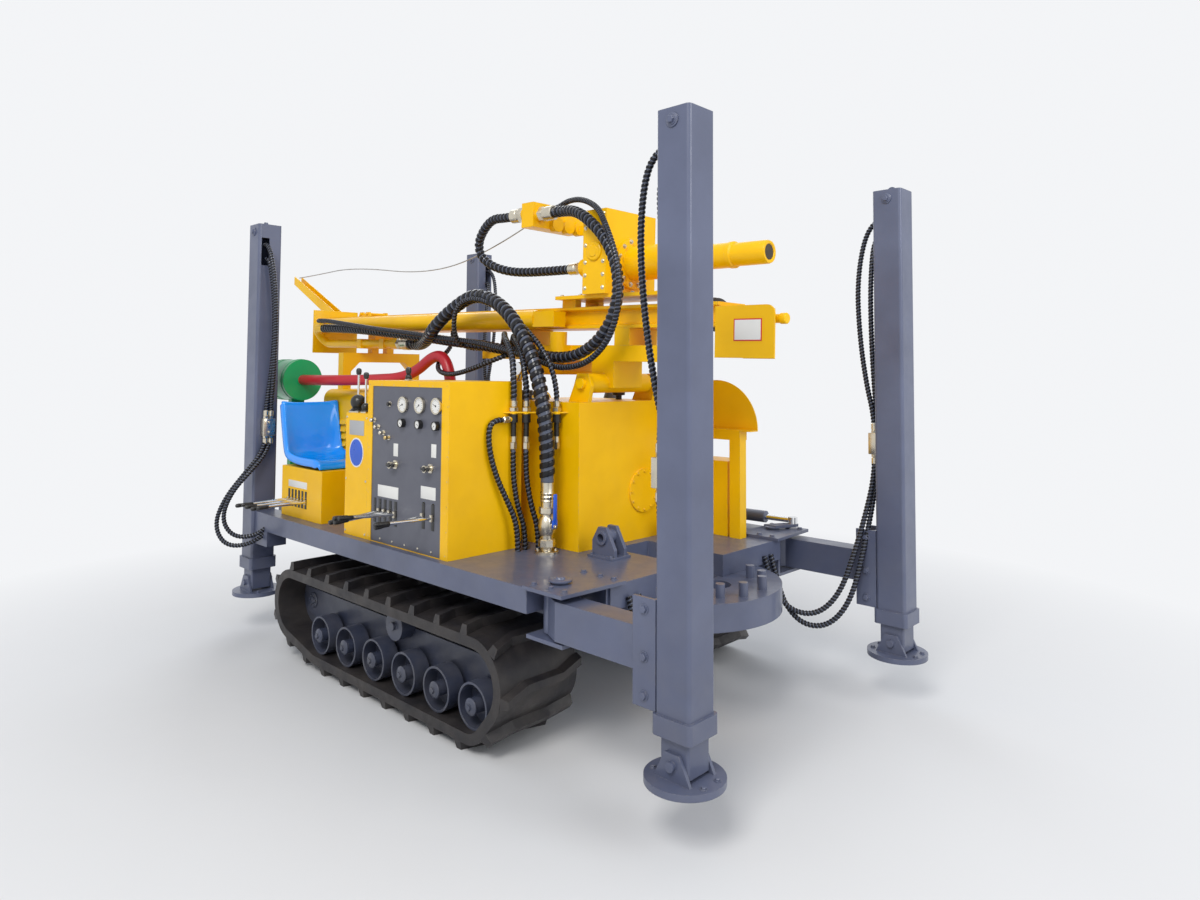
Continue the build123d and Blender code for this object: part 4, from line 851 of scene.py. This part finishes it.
def add_gauges():
    """Gauges, knobs and turn valves on the panel, in place of the plain controls."""
    out = -ACROSS
    piece = Piece("panel_gauges")
    for x, z, radius, depth, turn in GAUGES:
        gauge(piece, deck(x, PANEL_FACE, z), radius, depth, turn)
    for x, z, radius, depth, material in KNOBS:
        place = deck(x, PANEL_FACE, z)
        piece.turned(place, out, [(0, radius * 1.5), (0.003, radius * 1.5)], 6).wear("zinc")
        rows = [(0.003, radius * 0.7), (depth * 0.45, radius * 0.7), (depth * 0.5, radius),
                (depth * 0.92, radius), (depth, radius * 0.8)]
        piece.turned(place, out, rows, 16).wear(material)
    for x, z in VALVES:
        place = deck(x, PANEL_FACE, z)
        piece.turned(place, out, [(0, 0.022), (0.004, 0.022)], 6)
        piece.turned(place, out, [(0.004, 0.012), (0.022, 0.012), (0.024, 0.016), (0.036, 0.016)], 20)
        piece.wear("zinc")
        piece.slab(place + out * 0.031, (0.060, 0.010, 0.014), bevel=0.004)
        piece.turned(place + out * 0.034, out, [(0, 0.012), (0.006, 0.010)], 16).wear("black")
    piece.finish("zinc", "chassis", ["controls"])


def grip_rod(piece, root, tip, grip=0.070):
    """A plated rod with a moulded grip at its tip."""
    way = (tip - root).normalized()
    length = (tip - root).length
    piece.turned(root, way, [(0, 0.0075), (length - grip + 0.01, 0.0075)], 12).wear("chrome")
    rows = [(0, 0.008), (0.003, 0.0100), (grip * 0.3, 0.0095), (grip * 0.75, 0.0110), (grip - 0.004, 0.0100),
            (grip, 0.006)]
    piece.turned(tip - way * grip, way, rows, 16).wear("black")


def add_levers():
    """Lever banks of the panel and the seat box, and the joysticks with their boots."""
    piece = Piece("panel_levers")
    for x, z, reach, rise in LEVERS:
        root = deck(x, PANEL_FACE + 0.004, z - 0.012)
        grip_rod(piece, root, deck(x, PANEL_FACE - reach, z - 0.012 + rise))
        piece.slab(root - ACROSS * 0.012, (0.016, 0.012, 0.030), bevel=0.002).wear("zinc")
    for i, x in enumerate(BOX_LEVERS):
        root = deck(x, BOX_FACE + 0.004, 0.774)
        grip_rod(piece, root, deck(x, BOX_FACE - 0.290 + 0.014 * (i % 3), 0.766 + 0.007 * (i % 2)), 0.06)
        piece.slab(root - ACROSS * 0.010, (0.014, 0.010, 0.026), bevel=0.002).wear("zinc")
    piece.finish("chrome", "chassis", smooth=40)
    piece = Piece("joysticks")
    for x, y, foot, ball, radius, top in STICKS:
        place = deck(x, y, foot)
        piece.turned(place, UP, [(0, radius * 1.25), (0.006, radius * 1.25)], 6).wear("zinc")
        folds = [(0.006, radius * 1.05)]
        for i in range(4):
            narrow = 1.0 - 0.12 * i
            folds += [(0.010 + 0.006 * i, radius * narrow), (0.013 + 0.006 * i, radius * (narrow - 0.14))]
        piece.turned(place, UP, folds, 20)
        piece.ball(deck(x, y, ball), radius * 0.92, 24).wear("black")
        piece.rod(deck(x, y, ball), deck(x, y, top - 0.026), 0.0055).wear("chrome")
        rows = [(0, 0.007), (0.004, 0.012), (0.020, 0.014), (0.030, 0.011), (0.034, 0.005)]
        piece.turned(deck(x, y, top - 0.034), UP, rows, 16).wear("black")
    piece.finish("black", "chassis")


def wall_plate(piece, x0, x1, z0, z1, face, material, thick=0.0016):
    """A thin blank plate on a wall that faces the driver."""
    piece.block(deck(x0, face - thick, z0), deck(x1, face + 0.0002, z1), bevel=0.0004).wear(material)


def add_panel_plates():
    """Blank plates, black plates painted on as the shade in the lever slots, the round sign and the screws.
    """
    out = -ACROSS
    piece = Piece("panel_plates")
    for x0, x1, z0, z1 in ((-0.120, -0.084, 1.088, 1.146), (0.176, 0.212, 1.104, 1.162),
                           (-0.247, -0.076, 0.894, 0.948), (0.102, 0.212, 0.922, 0.976)):
        wall_plate(piece, x0, x1, z0, z1, PANEL_FACE, "white")
    # black plates paint the shade of the lever slots on the panel
    for x, z in [lever[:2] for lever in LEVERS] + [(-0.272, 0.838)]:
        wall_plate(piece, x - 0.011, x + 0.011, z - 0.066, z + 0.046, PANEL_FACE, "black")
    # black plates paint the shade of the lever slots on the seat box
    for x in BOX_LEVERS:
        wall_plate(piece, x - 0.010, x + 0.010, 0.738, 0.830, BOX_FACE, "black")
    wall_plate(piece, -1.205, -0.995, 0.842, 0.878, BOX_FACE, "white")
    wall_plate(piece, -0.510, -0.376, 1.165, 1.235, COLUMN_FACE, "grey")
    centre = deck(-0.443, COLUMN_FACE, 1.081)
    for radius, depth, material in ((0.071, 0.0012, "white"), (0.064, 0.0020, "blue")):
        piece.plate(circle(centre, X * 0.92, UP, radius, 36), out * depth).wear(material)
    screws = [(-0.326 + 0.102 * i, z) for i in range(7) for z in (0.700, 1.412)]
    screws += [(x, 0.80 + 0.105 * i) for i in range(6) for x in (-0.331, 0.294)]
    for x, z in screws:
        piece.turned(deck(x, PANEL_FACE, z), out, [(0, 0.0055), (0.0022, 0.005), (0.003, 0.003)], 12)
    for x in (-0.535, -0.353):
        for z in (0.70, 0.95, 1.25):
            piece.turned(deck(x, COLUMN_FACE, z), out, [(0, 0.006), (0.003, 0.005)], 12)
    piece.finish("zinc", "chassis", smooth=30)


def add_water_valve():
    """Ball valve on its stand pipe: flange, unions, body, blue handle and hose clamps."""
    foot = deck(0.475, -0.392, 0.680)
    piece = Piece("water_valve_body")
    piece.turned(foot, UP, [(0, 0.052), (0.010, 0.052), (0.012, 0.048), (0.012, 0.024), (0.028, 0.024)], 32)
    for place in circle(foot + UP * 0.011, X, ACROSS, 0.040, 4, math.pi / 4):
        piece.bolt(place, UP, 0.006, 0.008)
    piece.turned(foot, UP, [(0.026, 0.034), (0.030, 0.038), (0.058, 0.038), (0.062, 0.034)], 8)
    piece.turned(foot, UP, [(0.062, 0.027), (0.078, 0.027), (0.092, 0.036), (0.120, 0.040), (0.148, 0.036),
                            (0.162, 0.027), (0.174, 0.027)], 32)
    piece.turned(foot, UP, [(0.172, 0.034), (0.176, 0.037), (0.198, 0.037), (0.202, 0.033)], 8)
    piece.turned(foot, UP, [(0.202, 0.028), (0.225, 0.028), (0.228, 0.031), (0.234, 0.028), (0.245, 0.031),
                            (0.252, 0.028), (0.262, 0.031), (0.270, 0.028), (0.309, 0.029)]).wear("zinc")
    stem = foot + UP * 0.120
    piece.turned(stem, X, [(0.034, 0.015), (0.044, 0.015), (0.046, 0.009), (0.058, 0.009)], 16)
    piece.bolt(stem + X * 0.052, X, 0.007, 0.008).wear("zinc")
    piece.slab(stem + X * 0.049 + UP * 0.012, (0.004, 0.030, 0.034), bevel=0.001)
    piece.slab(stem + X * 0.051 + UP * 0.082, (0.008, 0.020, 0.120), bevel=0.0035).wear("blue")
    piece.finish("zinc", "chassis", ["water_valve"], smooth=30)


# Mast
MAST_TAIL, NOSE_REAR, NOSE_TIP, BOX_TIP = -2.595, 0.638, 0.918, 0.790
BEAM_LOW, BEAM_HIGH, BEAM_HALF, WEB_HALF, FLANGE = 0.256, 0.360, 0.100, 0.065, 0.014
NOSE_LOW, NOSE_HIGH, NOSE_HALF, NOSE_CORNER = 0.127, 0.339, 0.108, 0.035


def add_mast():
    """Mast beam with its flanges, stiffeners, nose box and sheave, tail plate and jib bolts."""
    piece = Piece("mast_body")
    high, low = BEAM_HIGH - FLANGE, BEAM_LOW + FLANGE
    half = [(BEAM_HALF, BEAM_LOW), (BEAM_HALF, low), (WEB_HALF, low + 0.008), (WEB_HALF, high - 0.008),
            (BEAM_HALF, high), (BEAM_HALF, BEAM_HIGH)]
    outline = half + [(-y, w) for y, w in reversed(half)]
    piece.plate([mast(MAST_TAIL, y, w) for y, w in outline], ALONG * (NOSE_REAR + 0.008 - MAST_TAIL))
    for i in range(8):
        u = -2.40 + 0.405 * i
        for side in (-1, 1):
            piece.slab(mast(u, side * 0.0815, 0.308), (0.010, 0.033, 0.078), (ALONG, ACROSS, SQUARE), 0.001)
    cheek = [(NOSE_REAR, NOSE_LOW), (NOSE_REAR, NOSE_HIGH)]
    for i in range(7):
        turn = i * math.pi / 12
        cheek.append((NOSE_TIP - NOSE_CORNER * (1 - math.sin(turn)),
                      NOSE_HIGH - NOSE_CORNER * (1 - math.cos(turn))))
    cheek.append((NOSE_TIP, NOSE_LOW))
    piece.plate([mast(u, -NOSE_HALF, w) for u, w in cheek], ACROSS * 0.008)
    far_cheek = [(NOSE_REAR, NOSE_LOW), (NOSE_REAR, NOSE_HIGH), (BOX_TIP, NOSE_HIGH), (BOX_TIP, NOSE_LOW)]
    piece.plate([mast(u, NOSE_HALF - 0.008, w) for u, w in far_cheek], ACROSS * 0.008)
    middle = (NOSE_REAR + BOX_TIP) / 2
    axes = (ALONG, ACROSS, SQUARE)
    piece.slab(mast(middle, 0, NOSE_HIGH - 0.004), (BOX_TIP - NOSE_REAR, 0.202, 0.008), axes, 0.001)
    piece.slab(mast(BOX_TIP - 0.004, 0, 0.233), (0.008, 0.202, 0.206), axes, 0.001)
    piece.slab(mast(NOSE_REAR + 0.004, 0, 0.233), (0.008, 0.202, 0.206), axes, 0.001)
    piece.slab(mast(MAST_TAIL + 0.006, -0.055, 0.2625), (0.012, 0.326, 0.289), axes, 0.002)
    piece.wear("yellow")
    knob = [(0, 0.018), (0.128, 0.018), (0.130, 0.022), (0.154, 0.022), (0.158, 0.018)]
    piece.turned(mast(BOX_TIP, -0.060, 0.285), ALONG, knob).wear("yellow")
    for u, w in ((0.665, 0.310), (0.665, 0.155), (0.765, 0.155), (0.765, 0.310)):
        piece.bolt(mast(u, NOSE_HALF, w), ACROSS, 0.009, 0.008)
    for y in (-0.19, -0.08, 0.03, 0.085):
        for w in (0.150, 0.385):
            piece.bolt(mast(MAST_TAIL, y, w), -ALONG, 0.008, 0.006)
    piece.wear("zinc")
    piece.finish("yellow", "mast", ["mast_beam"], smooth=30)
    sign = Piece("nose_sign")
    for depth, size, bevel, material in ((0.0008, (0.132, 0.0016, 0.090), 0.0005, "red"),
                                         (0.0018, (0.122, 0.0010, 0.080), 0.0003, "white")):
        sign.slab(mast(0.7965, -NOSE_HALF - depth, 0.240), size, axes, bevel).wear(material)
    sign.finish("white", "mast")
    sheave = Piece("nose_sheave")
    rows = [(0, 0.020), (0.006, 0.020), (0.006, 0.070), (0.010, 0.073), (0.018, 0.060), (0.026, 0.060),
            (0.034, 0.073), (0.038, 0.070), (0.038, 0.020), (0.044, 0.020)]
    sheave.turned(mast(0.560, -0.022, 0.312), ACROSS, rows, 36)
    sheave.finish("iron", "mast")
    ears = Piece("mast_lugs")
    for u in (-2.225, -2.150):
        for y in (-0.070, 0.055):
            ear = [(u - 0.035, BEAM_HIGH), (u - 0.020, BEAM_HIGH + 0.030), (u + 0.020, BEAM_HIGH + 0.030),
                   (u + 0.035, BEAM_HIGH)]
            ears.plate([mast(a, y, w) for a, w in ear], ACROSS * 0.012)
        ears.rod(mast(u, -0.080, BEAM_HIGH + 0.018), mast(u, 0.078, BEAM_HIGH + 0.018), 0.008)
    ears.finish("yellow", "mast")


# Rotary head
GEARBOX_HALF, SPINDLE_W = 0.175, 0.562


def add_head():
    """Bolts and covers of the gearbox, hose unions of the manifold, the spindle and the hoist rope."""
    piece = Piece("head_bolts")
    for w in (0.440, 0.500, 0.560, 0.640, 0.720, 0.780):
        for side in (-1, 1):
            for u in (-0.055, 0.058):
                piece.bolt(mast(u, side * GEARBOX_HALF, w), ACROSS * side, 0.007, 0.007)
    for place in circle(mast(0.097, 0, SPINDLE_W), ACROSS, SQUARE, 0.103, 12, math.radians(15)):
        piece.bolt(place, ALONG, 0.008, 0.009)
    for u in (-0.255, -0.130, 0.200, 0.390):
        for side in (-1, 1):
            piece.bolt(mast(u, side * 0.128, 0.412), SQUARE, 0.009, 0.008)
    piece.wear("zinc")
    for side in (-1, 1):
        rows = [(0, 0.046), (0.006, 0.046), (0.010, 0.040), (0.010, 0.030), (0.014, 0.026)]
        piece.turned(mast(0.002, side * GEARBOX_HALF, 0.610), ACROSS * side, rows, 28)
    piece.wear("yellow")
    piece.finish("zinc", "head", smooth=30)
    unions = Piece("head_unions")
    for u, y, w, way, radius in ((-0.411, -0.150, 0.826, 1, 0.0345), (-0.497, -0.150, 0.838, -1, 0.0345),
                                 (-0.220, 0.0, SPINDLE_W, -1, 0.029)):
        start = mast(u + way * 0.018, y, w)
        unions.turned(start, ALONG * way, [(0, radius), (0.003, radius * 1.12), (0.030, radius * 1.12),
                                           (0.033, radius)], 6)
        sleeve = [(0.030, 0.98), (0.046, 0.98), (0.048, 1.04), (0.090, 1.04), (0.094, 0.9)]
        unions.turned(start, ALONG * way, [(along, radius * part) for along, part in sleeve])
    unions.finish("zinc", "head", smooth=30)
    axis = mast(0.4503, 0, SPINDLE_W)
    piece = Piece("spindle_body")
    rows = [(0, 0.046), (0.004, 0.051), (0.088, 0.051), (0.092, 0.054), (0.188, 0.054), (0.190, 0.057),
            (0.208, 0.057), (0.212, 0.0495), (0.368, 0.049), (0.3757, 0.046), (0.3757, 0.036),
            (0.372, 0.034)]
    piece.turned(axis, ALONG, rows, 48).wear("yellow")
    # flat dark disc painting the shade of the spindle's hollow bore onto its closed end
    piece.turned(axis + ALONG * 0.371, ALONG, [(0, 0.0335), (0.0012, 0.0325)], 48).wear("bore_shade")
    piece.finish("yellow", "spindle", ["spindle"], smooth=30)
    jib_low, jib_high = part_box("tail_jib")
    tip = Vector((jib_low.x + 0.02, PIVOT.y, jib_high.z - 0.01))
    points = [tip, tip + X * 0.25, tip + Vector((0.80, 0, 0.015)), mast(-1.500, -0.012, 0.600),
              mast(-0.850, -0.016, 0.730), mast(-0.480, -0.020, 0.875)]
    rope = Piece("hoist_rope")
    rope.tube(smooth_line(points), 0.0035, 8)
    rope.finish("steel", None, blend=("mast", "head", points[1], points[-1]))


# Jacks and crawlers
def add_jacks():
    """Top bolts, clamp bolts, pin nuts and disc bolts of the four jacks."""
    for name, x, y, tube_body, foot_body in JACKS:
        piece = Piece(f"jack_bolts_{name}")
        face = deck(x, y - JACK_HALF, 2.278)
        piece.turned(face, -ACROSS, [(0, 0.024), (0.004, 0.024), (0.006, 0.018)], 24)
        piece.bolt(face - ACROSS * 0.006, -ACROSS, 0.013, 0.010)
        piece.bolt(deck(x, y + JACK_HALF, 2.278), ACROSS, 0.013, 0.010)
        if x > 0:
            side = math.copysign(1, y)
            for z in (0.453, 0.574, 0.723):
                for place, way in ((0.849, 1), (0.721, -1)):
                    piece.bolt(deck(1.425, side * place, z), ACROSS * side * way, 0.013, 0.011)
        piece.finish("slate", tube_body, smooth=30)
        foot = Piece(f"foot_bolts_{name}")
        for side in (-1, 1):
            foot.bolt(deck(x, y + side * 0.058, 0.273), ACROSS * side, 0.016, 0.008)
            for turn in (20, 160):
                angle = math.radians(turn * side)
                place = deck(x + 0.105 * math.cos(angle), y + 0.105 * math.sin(angle), 0.227)
                foot.bolt(place, UP, 0.009, 0.008)
        foot.finish("slate", foot_body, smooth=30)


ROLLERS = [-0.668 + 0.243 * i for i in range(6)]


def add_crawlers():
    """Hub nuts and grease caps of the rollers, and hub caps where the end wheels' axles are held."""
    hub_rows = [(0, 0.034), (0.006, 0.034), (0.010, 0.030), (0.014, 0.018)]
    cap_rows = [(0, 0.040), (0.005, 0.040), (0.007, 0.037), (0.007, 0.019), (0.012, 0.017), (0.013, 0.008)]
    for side, name in ((-1, "near"), (1, "far")):
        out = ACROSS * side
        piece = Piece(f"roller_hubs_{name}")
        for x in ROLLERS:
            hub = deck(x, side * 0.860, 0.170)
            piece.turned(hub - out * 0.010, out, hub_rows)
            piece.bolt(hub + out * 0.002, out, 0.013, 0.010)
        low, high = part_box(f"track_frame_{name}")
        for wheel_x in (-0.930, 0.579):
            axle = deck(wheel_x, 0, 0.273)
            axle.y = low.y if side < 0 else high.y
            piece.turned(axle - out * 0.001, out, cap_rows, 28)
            for place in circle(axle + out * 0.006, X, UP, 0.028, 6):
                piece.bolt(place, out, 0.006, 0.006)
        # the hubs wear the slate copy with painted shade
        piece.finish("shade", "chassis", smooth=30)


# Deck
def add_deck():
    """Bolts and pin caps of the deck, bolt ring and caps of the tank."""
    piece = Piece("deck_bolts")
    for side in (-1, 1):
        for x in (0.870, 0.960, 1.030):
            for y in (0.560, 0.820):
                piece.bolt(deck(x, side * y, 0.694), UP, 0.011, 0.010)
        for x, y in ((0.660, 0.300), (0.775, 0.300), (0.660, 0.200), (0.775, 0.200)):
            piece.bolt(deck(x, side * y, 0.690), UP, 0.008, 0.008)
        rows = [(0, 0.044), (0.006, 0.044), (0.008, 0.040), (0.008, 0.020), (0.016, 0.016)]
        piece.turned(deck(0.925, side * 0.740, 0.702), UP, rows, 28)
    piece.finish("slate", "chassis", smooth=30)
    piece = Piece("tank_fittings")
    for place in circle(deck(0.578, 0.150, 0.910), ACROSS, UP, 0.092, 12):
        piece.bolt(place, X, 0.006, 0.005)
    piece.wear("yellow")
    cap = deck(0.10, -0.20, 1.340)
    rows = [(0, 0.055), (0.006, 0.055), (0.006, 0.036), (0.020, 0.036), (0.022, 0.044), (0.040, 0.044),
            (0.046, 0.038)]
    piece.turned(cap, UP, rows, 20).wear("black")
    cap = deck(0.38, 0.18, 1.340)
    piece.turned(cap, UP, [(0, 0.016), (0.020, 0.016), (0.022, 0.032), (0.055, 0.034), (0.062, 0.026)], 20)
    piece.finish("black", "chassis", smooth=30)


def add_engine_side():
    """Louvres and latches of the engine cover, and the air cleaner's bands."""
    lip = [(0.0, -0.012), (0.014, -0.012), (0.004, 0.014), (0.0, 0.014)]
    piece = Piece("hood_trim")
    for side in (-1, 1):
        for bank in (-1.30, -0.98, -0.66):
            for i in range(9):
                start = deck(bank - 0.10, side * 0.430, 0.84 + 0.042 * i)
                piece.plate([start + ACROSS * (side * reach) + UP * rise for reach, rise in lip], X * 0.20)
    piece.wear("yellow")
    for side in (-1, 1):
        for x in (-1.42, -0.50):
            piece.slab(deck(x, side * 0.433, 0.80), (0.030, 0.010, 0.060), bevel=0.003)
            piece.slab(deck(x, side * 0.440, 0.81), (0.014, 0.012, 0.036), bevel=0.003)
    piece.finish("black", "chassis", smooth=30)
    piece = Piece("cleaner_bands")
    for x in (-1.745, -1.690, -1.535):
        centre = deck(x, -0.560, 1.420)
        piece.turned(centre, X, [(0, 0.1215), (0.001, 0.1245), (0.015, 0.1245), (0.016, 0.1215)], 48)
    piece.finish("green", "chassis", smooth=30)


add_camera()
add_studio()
dress_nodes()
for add in (add_hoses, add_unions, add_jack_hoses, add_seat, add_gauges, add_levers, add_panel_plates,
            add_water_valve, add_mast, add_head, add_jacks, add_crawlers, add_deck, add_engine_side):
    add()
